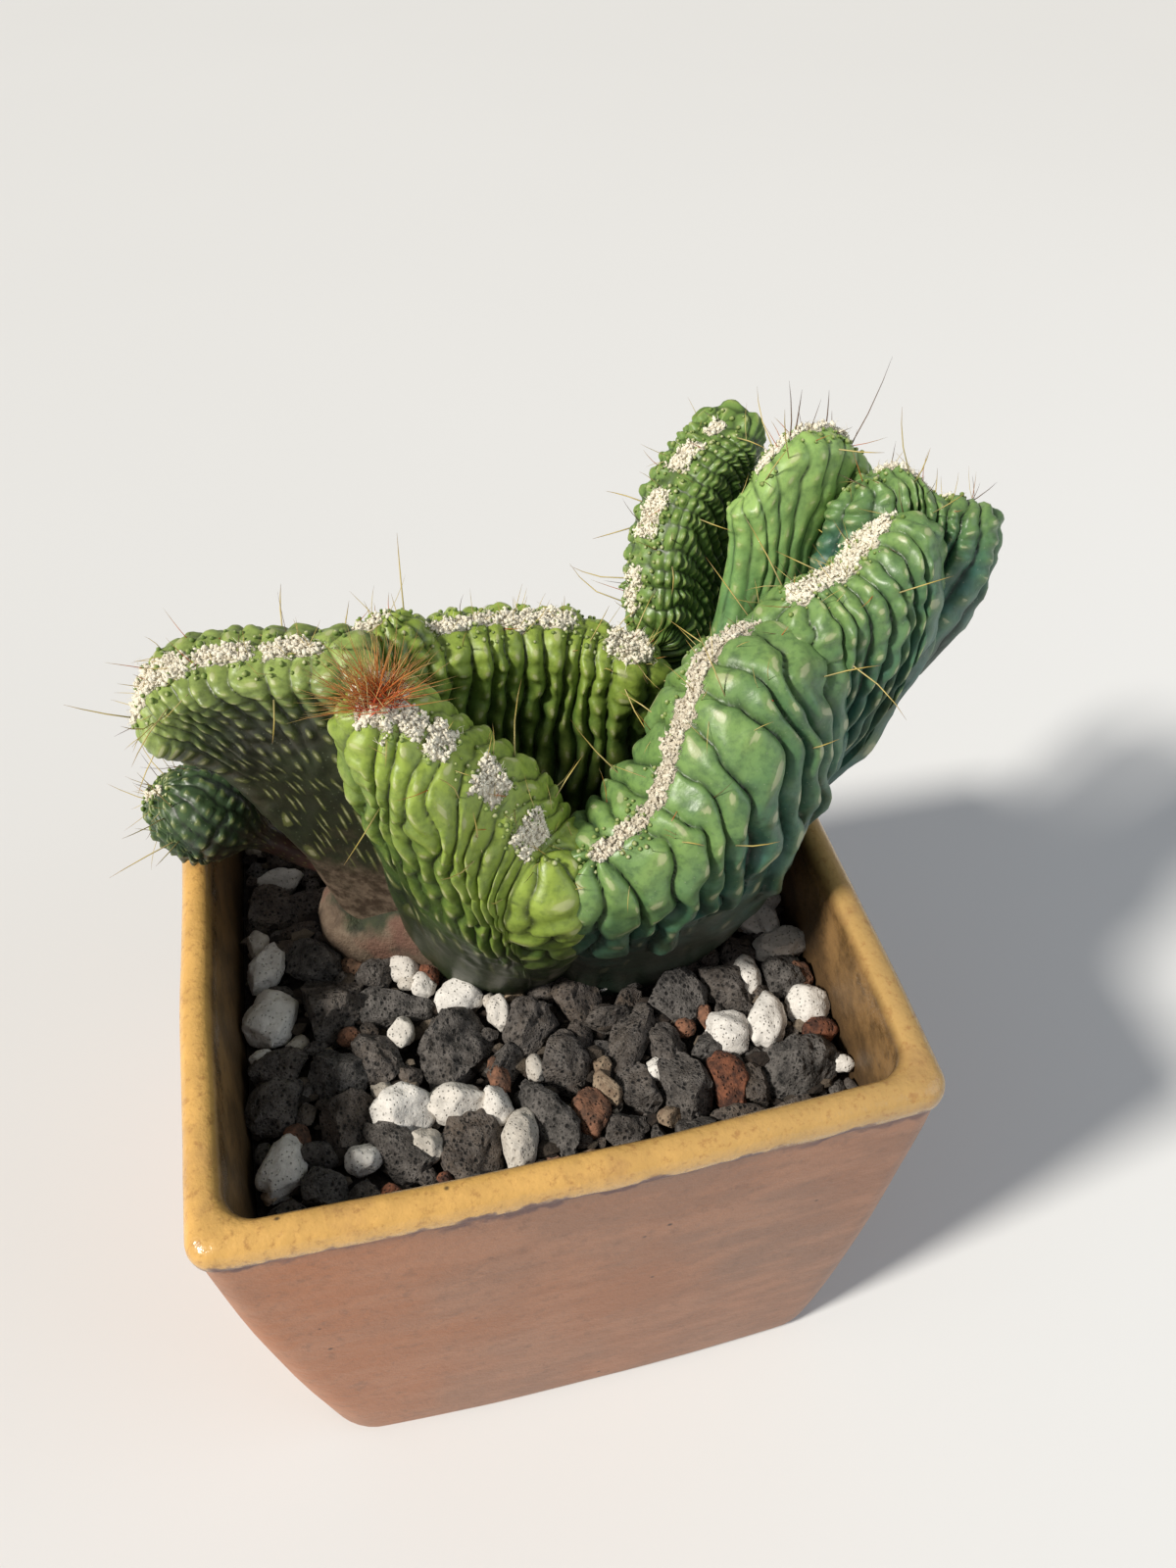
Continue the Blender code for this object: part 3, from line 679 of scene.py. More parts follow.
class Finish:
    """A material under construction, with short calls for its nodes."""

    def __init__(self, name, colour, roughness):
        self.material = bpy.data.materials.new(name)
        self.material.use_nodes = True
        self.tree = self.material.node_tree
        self.shader = self.tree.nodes["Principled BSDF"]
        self.shader.inputs["Base Color"].default_value = (*colour, 1)
        self.shader.inputs["Roughness"].default_value = roughness
        self.place = self.add("ShaderNodeTexCoord").outputs["Object"]

    def add(self, kind, **settings):
        made = self.tree.nodes.new(kind)
        for key, value in settings.items():
            setattr(made, key, value)
        return made

    def feed(self, socket, value):
        if isinstance(value, bpy.types.NodeSocket):
            self.tree.links.new(value, socket)
        elif isinstance(value, tuple) and len(value) == 3 and socket.type == "RGBA":
            socket.default_value = (*value, 1)
        else:
            socket.default_value = value

    def mark(self, name):
        return self.add("ShaderNodeAttribute", attribute_name=name).outputs["Fac"]

    def noise(self, size_mm, detail=3.0, rough=0.55, stretch=None, distortion=0.0):
        """Noise with lumps of about this size, from 0 to 1."""
        made = self.add("ShaderNodeTexNoise")
        made.inputs["Scale"].default_value = 1 / (size_mm * MM)
        made.inputs["Detail"].default_value = detail
        made.inputs["Roughness"].default_value = rough
        made.inputs["Distortion"].default_value = distortion
        self.feed(made.inputs["Vector"], self.stretched(stretch))
        return made.outputs["Fac"]

    def stretched(self, stretch):
        if stretch is None:
            return self.place
        mapping = self.add("ShaderNodeMapping")
        mapping.inputs["Scale"].default_value = stretch
        self.feed(mapping.inputs["Vector"], self.place)
        return mapping.outputs["Vector"]

    def cells(self, size_mm, feature="F1", output="Distance"):
        made = self.add("ShaderNodeTexVoronoi", feature=feature)
        made.inputs["Scale"].default_value = 1 / (size_mm * MM)
        self.feed(made.inputs["Vector"], self.place)
        return made.outputs[output]

    def sums(self, operation, a, b=0.0, clamp=False):
        made = self.add("ShaderNodeMath", operation=operation, use_clamp=clamp)
        self.feed(made.inputs[0], a)
        self.feed(made.inputs[1], b)
        return made.outputs[0]

    def between(self, value, low, high, to_low=0.0, to_high=1.0):
        """Maps low..high smoothly on to to_low..to_high, and holds it there beyond them."""
        made = self.add("ShaderNodeMapRange", interpolation_type="SMOOTHSTEP")
        for socket, number in zip(list(made.inputs)[:5], (value, low, high, to_low, to_high)):
            self.feed(socket, number)
        return made.outputs[0]

    def mix(self, share, first, second, blend="MIX"):
        made = self.add("ShaderNodeMix", data_type="RGBA", blend_type=blend)
        self.feed(made.inputs[0], share)
        self.feed(made.inputs[6], first)
        self.feed(made.inputs[7], second)
        return made.outputs[2]

    def ramp(self, value, stops):
        made = self.add("ShaderNodeValToRGB")
        row = made.color_ramp.elements
        while len(row) < len(stops):
            row.new(0.5)
        for element, (position, colour) in zip(row, stops):
            element.position = position
            element.color = (*colour, 1)
        self.feed(made.inputs["Fac"], value)
        return made.outputs["Color"]

    def height_of_place(self):
        split = self.add("ShaderNodeSeparateXYZ")
        self.feed(split.inputs[0], self.place)
        return split.outputs["Z"], split.outputs["X"], split.outputs["Y"]

    def bump(self, height, distance_mm, strength=1.0, under=None):
        made = self.add("ShaderNodeBump")
        made.inputs["Strength"].default_value = strength
        made.inputs["Distance"].default_value = distance_mm * MM
        self.feed(made.inputs["Height"], height)
        if under is not None:
            self.feed(made.inputs["Normal"], under)
        return made.outputs["Normal"]

    def done(self, colour, roughness=None, normal=None):
        self.feed(self.shader.inputs["Base Color"], colour)
        if roughness is not None:
            self.feed(self.shader.inputs["Roughness"], roughness)
        if normal is not None:
            self.feed(self.shader.inputs["Normal"], normal)
        return self.material


def skin_finish(name, old, mature, young, bloom, felt, dull, foot):
    """Waxy skin: olive low down, fresh at the crest, pale on the noses, felt on top; painted shade in the grooves and
    in the felt's hollows, a painted highlight on the ridge tops, and blue bloom that is real wax but weighted to one
    side as painted fill light.
    """
    f = Finish(name, mature, 0.5)
    ridge, rise, nose, wool = f.mark("ridge"), f.mark("rise"), f.mark("nose"), f.mark("wool")
    wide = f.noise(6.0, 4.0)
    fine = f.noise(0.9, 3.0)
    level = f.sums("ADD", rise, f.between(wide, 0.25, 0.75, -0.15, 0.15))
    base = f.ramp(level, ((0.05, old), (0.38, mature), (0.95, young)))
    bloom_share = f.sums("MULTIPLY", f.between(f.noise(5.0, 4.0), 0.3, 0.68), bloom)
    bloom_share = f.sums("MULTIPLY", bloom_share, f.between(rise, 0.1, 0.75, 0.95, 0.15))
    # the blue wax bloom is real; weighting it to the fan's front side paints the blue fill light on that side
    bloom_share = f.sums("MULTIPLY", bloom_share, f.between(f.mark("bloom_and_fill_side"), 0.1, 0.9, 0.15, 1.0))
    base = f.mix(bloom_share, base, (0.045, 0.15, 0.125))
    # painted shade: the grooves between the ribs darkened to near black
    base = f.mix(f.between(ridge, -0.7, 0.35, 0.88, 0.0), base, tuple(c * 0.09 for c in mature))
    # painted highlight: the ridge tops lightened towards a brighter young green
    crest = tuple(min(1.0, c * 1.25 + 0.015) for c in young)
    base = f.mix(f.between(ridge, 0.3, 1.0, 0.0, 0.28 - 0.2 * bloom), base, crest)
    base = f.mix(f.between(fine, 0.42, 0.72, 0.0, 0.35), base, tuple(c * 0.5 for c in mature))
    base = f.mix(f.between(f.noise(2.3, 4.0, 0.6), 0.5, 0.72, 0.0, 0.4), base, tuple(c * 0.45 for c in mature))
    base = f.mix(f.between(nose, 0.45, 0.95, 0.0, 0.26 - 0.2 * bloom), base, (0.42, 0.46, 0.13))
    base = f.mix(f.between(nose, 0.92, 0.99, 0.0, 0.42), base, (0.6, 0.58, 0.36))
    dust = f.between(f.cells(0.8), 0.06, 0.16, 0.3, 0.0)
    base = f.mix(dust, base, (0.34, 0.38, 0.25))
    scar = f.between(f.noise(2.6, 5.0, 0.7), 0.7, 0.78, 0.0, 0.55)
    base = f.mix(scar, base, (0.16, 0.1, 0.045))
    cork = f.mix(f.between(f.noise(2.0, 5.0, 0.7), 0.35, 0.65), (0.06, 0.04, 0.027), (0.21, 0.155, 0.11))
    height = f.sums("ADD", f.height_of_place()[0], f.between(f.noise(5.0, 4.0), 0.25, 0.75, -0.004, 0.004))
    base = f.mix(f.between(height, 0.07, 0.087, 0.8, 0.0), base, tuple(c * 1.3 for c in old))
    base = f.mix(f.sums("MULTIPLY", f.between(height, 0.073, 0.088, 1.0, 0.0), foot), base, cork)
    edge = f.between(f.sums("ADD", wool, f.between(f.noise(0.9, 4.0, 0.7), 0.25, 0.75, -0.4, 0.4)), 0.42, 0.56)
    fuzz = f.noise(0.28, 4.0, 0.72)
    fluff = f.mix(f.between(f.noise(1.3, 4.0), 0.5, 0.75, 0.0, 0.6), felt, dull)
    # painted shade: the felt darkened where its bump is low, in the hollows between tufts
    fluff = f.mix(f.between(fuzz, 0.3, 0.5, 0.35, 0.0), fluff, tuple(c * 0.6 for c in dull))
    base = f.mix(edge, base, fluff)
    rough = f.sums("ADD", f.between(wide, 0.3, 0.7, 0.36, 0.5), f.sums("MULTIPLY", edge, 0.45), clamp=True)
    normal = f.bump(fine, 0.1, 0.5)
    normal = f.bump(f.noise(0.3, 2.0), 0.025, 0.5, normal)
    normal = f.bump(f.sums("MULTIPLY", fuzz, edge), 0.5, 1.0, normal)
    return f.done(base, rough, normal)


def cork_finish():
    """The old stem: corky brown bark with long cracks, greener towards the top."""
    f = Finish("stem_cork", (0.13, 0.09, 0.06), 0.8)
    rise = f.mark("rise")
    long = f.noise(4.0, 5.0, 0.65, stretch=(1.0, 1.0, 0.35))
    cork = f.ramp(long, ((0.3, (0.045, 0.03, 0.02)), (0.5, (0.14, 0.095, 0.062)), (0.72, (0.25, 0.19, 0.135))))
    cork = f.mix(f.between(f.noise(7.0, 3.0), 0.5, 0.7, 0.0, 0.6), cork, (0.19, 0.085, 0.06))
    green = f.mix(f.between(f.noise(3.0, 4.0), 0.3, 0.7), (0.022, 0.026, 0.014), (0.05, 0.06, 0.026))
    level = f.sums("ADD", rise, f.between(f.noise(5.0, 4.0), 0.25, 0.75, -0.2, 0.2))
    colour = f.mix(f.between(level, 0.35, 0.6), cork, green)
    height = f.sums("ADD", long, f.noise(0.7, 4.0, 0.7))
    return f.done(colour, None, f.bump(height, 0.5, 0.9))


def wool_finish(felt, dull):
    """Felt: cream on top, greyer and browner where tone is high."""
    f = Finish("felt", felt, 0.95)
    share = f.sums("ADD", f.between(f.noise(1.6, 4.0), 0.3, 0.7, -0.2, 0.1), f.mark("tone"), clamp=True)
    colour = f.mix(share, felt, dull)
    f.shader.inputs["Sheen Weight"].default_value = 0.5
    return f.done(colour, None, f.bump(f.noise(0.22, 4.0, 0.7), 0.15, 1.0))


def bead_finish():
    """Small young tubercles: green below and felted cream on top."""
    f = Finish("areole_felt", (0.5, 0.47, 0.3), 0.7)
    colour = f.ramp(f.mark("tone"), ((0.3, (0.14, 0.23, 0.04)), (0.62, (0.32, 0.38, 0.12)), (0.86, (0.7, 0.66, 0.48))))
    colour = f.mix(f.between(f.noise(0.4, 3.0), 0.35, 0.75, 0.0, 0.3), colour, (0.2, 0.22, 0.08))
    return f.done(colour, None, f.bump(f.noise(0.25, 2.0), 0.06, 0.8))


def spine_finish():
    """Spines that run from a red-brown base through straw to a dark tip; tone picks how red each is."""
    f = Finish("spine_horn", (0.45, 0.3, 0.12), 0.35)
    tone, along = f.mark("tone"), f.mark("along")
    red = f.ramp(along, ((0.0, (0.6, 0.07, 0.03)), (0.35, (0.55, 0.16, 0.03)), (0.9, (0.3, 0.22, 0.06))))
    straw = f.ramp(along, ((0.0, (0.66, 0.55, 0.28)), (0.6, (0.6, 0.45, 0.12)), (1.0, (0.25, 0.15, 0.05))))
    brown = f.ramp(along, ((0.0, (0.2, 0.1, 0.05)), (0.6, (0.13, 0.07, 0.04)), (1.0, (0.04, 0.02, 0.015))))
    colour = f.mix(f.between(tone, 0.33, 0.36), red, straw)
    colour = f.mix(f.between(tone, 0.64, 0.67), colour, brown)
    return f.done(colour)


def lava_finish(lava):
    """Dark pitted lava with a dusting of brown; its pits are painted dark as shade."""
    f = Finish("lava", lava, 0.9)
    tone = f.mark("tone")
    light = tuple(c * 2.0 for c in lava)
    dark = f.mix(f.between(f.noise(2.2, 5.0, 0.65), 0.35, 0.65), tuple(c * 0.55 for c in lava), light)
    brown = f.mix(f.between(f.noise(3.0, 4.0), 0.35, 0.7), (0.06, 0.036, 0.024), (0.19, 0.13, 0.085))
    colour = f.mix(tone, dark, brown)
    grain = f.noise(0.35, 4.0, 0.75)
    colour = f.mix(f.between(grain, 0.52, 0.7, 0.0, 0.55), colour, tuple(c * 3.2 for c in lava))
    pits = f.between(f.cells(0.9), 0.12, 0.4)
    small_pits = f.between(f.cells(0.42), 0.12, 0.4)
    # painted shade: the pits darkened to near black
    colour = f.mix(f.between(pits, 0.0, 0.6, 0.9, 0.0), colour, (0.006, 0.005, 0.005))
    colour = f.mix(f.between(small_pits, 0.0, 0.5, 0.7, 0.0), colour, (0.008, 0.007, 0.007))
    height = f.sums("ADD", pits, f.sums("MULTIPLY", small_pits, 0.45))
    height = f.sums("ADD", height, f.noise(0.5, 4.0, 0.7))
    return f.done(colour, 0.9, f.bump(height, 0.42, 1.0))


def pumice_finish(pumice):
    """Pale pumice and perlite, slightly stained, with fine pores painted dark as shade."""
    f = Finish("pumice", pumice, 0.85)
    clean = f.mix(f.between(f.noise(1.8, 4.0), 0.3, 0.65), tuple(c * 0.78 for c in pumice), pumice)
    stain = f.mix(f.between(f.noise(3.0, 3.0), 0.35, 0.7), (0.3, 0.24, 0.17), (0.47, 0.41, 0.33))
    colour = f.mix(f.mark("tone"), clean, stain)
    pores = f.between(f.cells(0.55), 0.08, 0.3)
    # painted shade: the pores darkened
    colour = f.mix(f.between(pores, 0.0, 0.7, 0.55, 0.0), colour, (0.2, 0.17, 0.14))
    colour = f.mix(f.between(f.noise(0.5, 4.0, 0.75), 0.55, 0.7, 0.0, 0.35), colour, (0.3, 0.26, 0.22))
    height = f.sums("ADD", pores, f.noise(0.8, 4.0, 0.6))
    return f.done(colour, 0.85, f.bump(height, 0.25, 0.9))


def red_finish():
    """Rusty cinders, and tan grains where tone is high; the pits are painted dark as shade."""
    f = Finish("red_stone", (0.25, 0.1, 0.05), 0.85)
    red = f.mix(f.between(f.noise(1.8, 5.0, 0.65), 0.35, 0.65), (0.05, 0.02, 0.013), (0.25, 0.09, 0.045))
    tan = f.mix(f.between(f.noise(1.8, 5.0, 0.65), 0.3, 0.7), (0.17, 0.11, 0.07), (0.38, 0.29, 0.2))
    colour = f.mix(f.mark("tone"), red, tan)
    pits = f.between(f.cells(0.6), 0.1, 0.4)
    # painted shade: the pits darkened
    colour = f.mix(f.between(pits, 0.0, 0.6, 0.7, 0.0), colour, (0.02, 0.01, 0.008))
    height = f.sums("ADD", pits, f.noise(0.6, 4.0, 0.7))
    return f.done(colour, 0.88, f.bump(height, 0.3, 0.9))


def soil_finish():
    """Dark crumbs and dust between the stones; tone picks the paler grains."""
    f = Finish("soil_crumb", (0.03, 0.022, 0.016), 0.95)
    colour = f.mix(f.between(f.noise(1.4, 5.0, 0.7), 0.3, 0.7), (0.008, 0.006, 0.005), (0.05, 0.035, 0.026))
    colour = f.mix(f.mark("tone"), colour, (0.24, 0.19, 0.14))
    return f.done(colour, None, f.bump(f.noise(0.6, 5.0, 0.75), 0.5, 1.0))


def pot_finish(wall_colour, glaze_colour, inner_colour):
    """Clay under a thin glaze: ochre and pebbly over the lip, streaked on the walls, stained inside, with painted shade
    towards +X and deep inside.
    """
    f = Finish("glazed_clay", wall_colour, 0.5)
    z, x, y = f.height_of_place()
    ragged = f.between(f.noise(5.0, 4.0), 0.3, 0.7, -0.0011, 0.0011)
    high = f.sums("ADD", z, ragged)
    warm = tuple(c * k for c, k in zip(wall_colour, (1.2, 0.95, 0.7)))
    right_side_shade = tuple(c * k for c, k in zip(wall_colour, (0.62, 0.75, 0.9)))
    wall = f.mix(f.between(f.noise(26.0, 3.0), 0.35, 0.65), wall_colour, warm)
    # painted shade: the walls greyed and darkened towards +X, the side away from the light
    wall = f.mix(f.between(x, -0.05, 0.045, 0.0, 0.55), wall, right_side_shade)
    streak = f.noise(7.0, 5.0, 0.6, stretch=(0.55, 1.0, 1.5))
    wall = f.mix(f.between(streak, 0.4, 0.65, 0.0, 0.45), wall, tuple(min(1.0, c * 1.35) for c in wall_colour))
    wall = f.mix(f.between(f.noise(2.0, 5.0, 0.7), 0.5, 0.72, 0.0, 0.45), wall, tuple(c * 0.5 for c in wall_colour))
    lip = f.mix(f.between(f.noise(5.0, 4.0), 0.3, 0.7), tuple(c * 0.82 for c in glaze_colour), glaze_colour)
    # painted shade: the lip darkened towards +X, where the plant shades it
    lip = f.mix(f.between(x, -0.02, 0.05, 0.0, 0.8), lip, tuple(c * k for c, k in zip(glaze_colour, (0.6, 0.66, 0.85))))
    lip = f.mix(f.between(f.noise(1.2, 4.0, 0.7), 0.5, 0.72, 0.0, 0.55), lip, (0.3, 0.13, 0.045))
    lip = f.mix(f.between(f.noise(9.0, 4.0, 0.6), 0.55, 0.75, 0.0, 0.4), lip, (0.32, 0.17, 0.08))
    colour = f.mix(f.between(high, 0.0738, 0.075), wall, lip)
    line = f.sums("MULTIPLY", f.between(high, 0.0726, 0.0736), f.between(high, 0.0744, 0.0752, 1.0, 0.0))
    broken = f.between(f.noise(11.0, 3.0), 0.35, 0.55, 0.25, 0.85)
    colour = f.mix(f.sums("MULTIPLY", line, broken), colour, (0.11, 0.05, 0.05))
    inside = f.mix(f.between(f.noise(7.0, 5.0, 0.65), 0.35, 0.65), tuple(c * 0.45 for c in inner_colour), inner_colour)
    inside = f.mix(f.between(f.noise(2.5, 5.0, 0.7), 0.5, 0.7, 0.0, 0.6), inside, tuple(c * 0.25 for c in inner_colour))
    # painted shade: the inside darkened deeper down towards the grit, under the lip
    inside = f.mix(f.between(z, 0.06, 0.073, 0.7, 0.0), inside, (0.035, 0.022, 0.014))
    colour = f.mix(f.mark("inner"), colour, inside)
    pit = f.between(f.cells(8.0), 0.02, 0.06, 1.0, 0.0)
    colour = f.mix(f.sums("MULTIPLY", pit, 0.85), colour, (0.03, 0.02, 0.015))
    glaze = f.between(high, 0.0738, 0.075)
    rough = f.between(glaze, 0.0, 1.0, 0.5, 0.24)
    normal = f.bump(f.noise(1.1, 3.0, 0.6), 0.16, 0.9)
    normal = f.bump(f.noise(0.35, 2.0), 0.035, 0.6, normal)
    return f.done(colour, rough, normal)


def floor_finish():
    f = Finish("studio_floor", (0.74, 0.74, 0.74), 0.95)
    return f.done(f.mix(f.between(f.noise(400.0), 0.3, 0.7), (0.735, 0.735, 0.735), (0.745, 0.745, 0.745)))


def wool_cover(fan, at, surface, rng):
    """How thickly felt covers each point, from the patches along the crest."""
    off = fan.half * taper(fan, at["u"]) * (math.pi / 2 - at["angle"]) + 20 * (1 - at["body"])
    off = off * (1 + 0.3 * ripple(surface, 3.0, rng.integers(1 << 30)))
    cover = np.zeros_like(off)
    for middle, spread, width in fan.wool:
        along = smooth(1.5 - np.abs(at["u"] - middle) / spread)
        cover = np.maximum(cover, along * smooth((1.3 - off / width) / 0.6))
    return cover


def fan_relief(fan, column, at, surface, rng):
    """Heights of the ribs and of the noses on them, with the marks that the finish reads."""

    def seed():
        return rng.integers(1 << 30)

    total = 2 * (fan.fine_ribs + fan.fine_ends)
    far = (1 - at["s"]) * at["length"] + 0.3
    drift = fan.wander * (ripple(surface, 11.0, seed()) + 0.45 * ripple(surface, 4.5, seed()))
    shifted = column + drift * smooth(at["body"] * 1.4)
    place = np.round(shifted)
    side = shifted - place
    rib = np.mod(place.astype(int), total)
    end = rng.uniform(*fan.rib_start, total)[rib]
    strength = rng.uniform(0.7, 1.2, total)[rib]
    steps = np.log1p(fan.nose_growth * far / fan.nose_gap) / fan.nose_growth
    run = steps * rng.uniform(0.85, 1.15, total)[rib] + rng.uniform(0, 1, total)[rib]
    count = np.round(run).astype(int)
    along = run - count
    dice = rng.uniform(-1, 1, (total, 24, 3))
    size, lateral, late = (dice[rib, np.mod(count, 24), k] for k in range(3))
    reach = ((side - 0.12 * lateral) / 0.36) ** 2 + ((along - 0.12 * late) / 0.4) ** 2
    nose = smooth(1 - reach)
    profile = np.sqrt(np.clip(1 - (2 * side) ** 2, 0, 1))
    string = 1 - fan.notch * smooth((np.abs(along) - 0.2) / 0.3)
    body, top = at["body"], np.sin(at["angle"])
    fade = smooth((body - end) / (0.24 - 0.15 * fan.fingers)) * (1 - 0.45 * top**2)
    tip = np.exp(-(((body - end - 0.1) / 0.07) ** 2)) * fan.fingers
    wool = wool_cover(fan, at, surface, rng)
    fade = fade * (1 - 0.6 * wool)
    low = fan.rib_start[0]
    nose_fade = smooth((body - low + 0.1) / 0.25) * (1 - 0.8 * wool)
    height = fade * fan.rise * (strength * profile * string - 0.55) + 0.55 * tip * profile
    height += fan.noses * (0.8 + 0.35 * size) * nose_fade * nose
    height += 0.4 * ripple(surface, 12.0, seed()) * smooth(body * 2)
    height += 0.12 * ripple(surface, 2.4, seed()) * smooth(body * 2)
    height += wool * (0.25 + 0.3 * ripple(surface, 1.5, seed()))
    height *= smooth((math.pi / 2 - at["angle"]) / 0.2)
    rise = np.exp(-far / fan.fresh) * smooth(body * 1.5)
    shown = 0.0 if fan.noses == 0 else 1.0
    half_way = fan.fine_ribs + fan.fine_ends / 2
    front = np.where((column < half_way) | (column > total - fan.fine_ends / 2), 0.5, -0.5)
    marks = {
        "ridge": (2 * profile * string - 1) * fade,
        "rise": rise,
        "nose": nose * smooth((body - 0.15) / 0.2) * (1 - 0.8 * wool) * shown,
        "wool": wool,
        # the fan's front side, where the blue bloom is strengthened as painted fill light
        "bloom_and_fill_side": 0.5 + front * np.cos(at["angle"]),
    }
    return height, marks


def fan_levels(rows_body, rows_top):
    body = 1 - (1 - np.linspace(0, 1, rows_body)) ** 1.5
    top = 1 + np.linspace(0, 1, rows_top + 1)[1:]
    return np.concatenate([[0.0], body, top])


def make_fan(name, fan, seed, finish, rib_height):
    rng = np.random.default_rng(seed)
    count = 2 * (fan.fine_ribs + fan.fine_ends) * fan.per_rib
    columns = np.arange(count) / fan.per_rib
    levels = fan_levels(fan.rows, fan.top_rows)
    column, level = np.meshgrid(columns, levels)
    surface, facing, at = plain_surface(fan, column, level, fan.fine_ribs, fan.fine_ends)
    height, marks = fan_relief(fan, column, at, surface, rng)
    points = surface + facing * (rib_height * height)[..., None]
    points[0] = sheet_point(fan, at["u"][0], np.zeros(count))
    points[-1] = sheet_point(fan, at["u"][-1], np.ones(count))
    thing = grid_piece(name, points)
    wrapped = {key: np.concatenate([value, value[:, :1]], axis=1) for key, value in marks.items()}
    set_marks(thing, wrapped)
    close_piece(thing)
    SURFACES[name] = {"points": points, "facing": facing, "column": column, **at, **marks}
    return settle(thing, finish, "cactus")


def ring_of(half, corner, z, corner_steps=10, side_steps=22):
    """A square with round corners and softly bowed sides, half across at the middle of a side."""
    centre = half - SIDE_BOW - corner
    points = []
    for quarter in range(4):
        turn = quarter * math.pi / 2
        flat = []
        for k in range(corner_steps + 1):
            angle = math.pi / 2 * k / corner_steps
            flat.append((centre + corner * math.cos(angle), centre + corner * math.sin(angle)))
        for k in range(1, side_steps):
            t = k / side_steps
            flat.append((centre * (1 - 2 * t), half - SIDE_BOW + SIDE_BOW * 4 * t * (1 - t)))
        for x, y in flat:
            points.append((x * math.cos(turn) - y * math.sin(turn), x * math.sin(turn) + y * math.cos(turn), z))
    return points


def wall_half(z):
    """Half the pot's width at a height, bulging softly between foot and rim."""
    return FOOT_HALF + (RIM_HALF - FOOT_HALF) * (1 - (1 - z / POT_HEIGHT) ** WALL_CURVE)


def wall_corner(z):
    return FOOT_CORNER + (RIM_CORNER - FOOT_CORNER) * z / POT_HEIGHT


def inner_corner(z):
    return INNER_FOOT_CORNER + (INNER_RIM_CORNER - INNER_FOOT_CORNER) * z / POT_HEIGHT


def make_pot(finish, unevenness):
    rings = []
    for z, proud in OUTER_PROFILE + LIP_PROFILE:
        rings.append(ring_of(wall_half(z) + proud, wall_corner(z), z))
    outer_count = len(rings)
    for z, proud in INNER_PROFILE:
        rings.append(ring_of(wall_half(z) - WALL + proud, inner_corner(z), z))
    rings.append(ring_of(wall_half(FLOOR) - WALL - FOOT_ROUNDING, inner_corner(FLOOR), FLOOR))
    points = np.array(rings)
    wobble = ripple(points, 26.0, 5) + 0.35 * ripple(points, 7.0, 6)
    sideways = unit(points * np.array([1, 1, 0]))
    keep = smooth(points[..., 2] / 4)
    points = points - sideways * (unevenness * (1.35 + wobble) * keep)[..., None]
    middle = np.zeros_like(points[:1])
    bottom, floor = middle.copy(), middle.copy()
    floor[..., 2] = FLOOR
    points = np.concatenate([bottom, points, floor])
    thing = grid_piece("glazed_pot", points)
    inner = np.zeros(points.shape[:2])
    inner[outer_count + 4 :] = 1.0
    inner[outer_count + 3] = 0.5
    set_marks(thing, {"inner": np.concatenate([inner, inner[:, :1]], axis=1)})
    close_piece(thing)
    return settle(thing, finish, "pot", 40)


def rock(level, rng, planes=13, pits=0, rough=0.05, keen=0.72, lumpy=0.0):
    """A unit lump: a ball cut by random flats, roughened, with round pits pressed in."""
    ball, faces = ico(level)
    points = ball * (1 + lumpy * ripple(ball, 0.85, rng.randrange(1 << 30)))[:, None]
    for _ in range(planes):
        way = unit(np.array([rng.gauss(0, 1) for _ in range(3)]))
        reach = rng.uniform(keen, 1.0)
        over = points @ way - reach
        points = points - np.outer(np.maximum(over, 0) * 0.94, way)
    seed = rng.randrange(1 << 30)
    waves = ripple(points, 0.6, seed) + 0.6 * ripple(points, 0.26, seed + 1) + 0.35 * ripple(points, 0.12, seed + 2)
    points = points * (1 + rough * waves)[:, None]
    for _ in range(pits):
        way = unit(np.array([rng.gauss(0, 1) for _ in range(3)]))
        size = rng.uniform(0.08, 0.24)
        near = np.linalg.norm(ball - way, axis=1)
        points = points * (1 - size * 0.6 * smooth(1.15 - near / size))[:, None]
    return points, faces


def place_rock(shape, centre, size, stretch, turn, tilt, rng):
    """A rock turned, stretched and put in its place."""
    points, faces = shape
    points = turned(points, rng) * np.array([stretch, 1 / math.sqrt(stretch), tilt]) * size
    c, s = math.cos(turn), math.sin(turn)
    points = points @ np.array([[c, s, 0], [-s, c, 0], [0, 0, 1]])
    return points + np.array(centre), faces


def free_spots(rng, sizes, placed, limit, spread, sink):
    """Strews stones of falling size where they fit between those already placed."""
    found = []
    for size in sizes:
        reach = limit - size * 1.15
        for _ in range(80):
            x, y = rng.uniform(-reach, reach), rng.uniform(-reach, reach)
            if abs(x) + abs(y) > 2 * reach - 1.5:
                continue
            if all((x - a) ** 2 + (y - b) ** 2 > (spread * (size + r)) ** 2 for a, b, r in placed):
                placed.append((x, y, size))
                found.append((x, y, GRIT_LEVEL + rng.uniform(*sink), size))
                break
    return found


LAVA_CUT = {"planes": 10, "pits": 60, "rough": 0.05, "keen": 0.5}
SMALL_LAVA_CUT = {"planes": 9, "pits": 12, "rough": 0.05, "keen": 0.5}
PUMICE_CUT = {"planes": 5, "pits": 14, "rough": 0.035, "keen": 0.66, "lumpy": 0.11}
RED_CUT = {"planes": 9, "pits": 14, "rough": 0.05, "keen": 0.55}


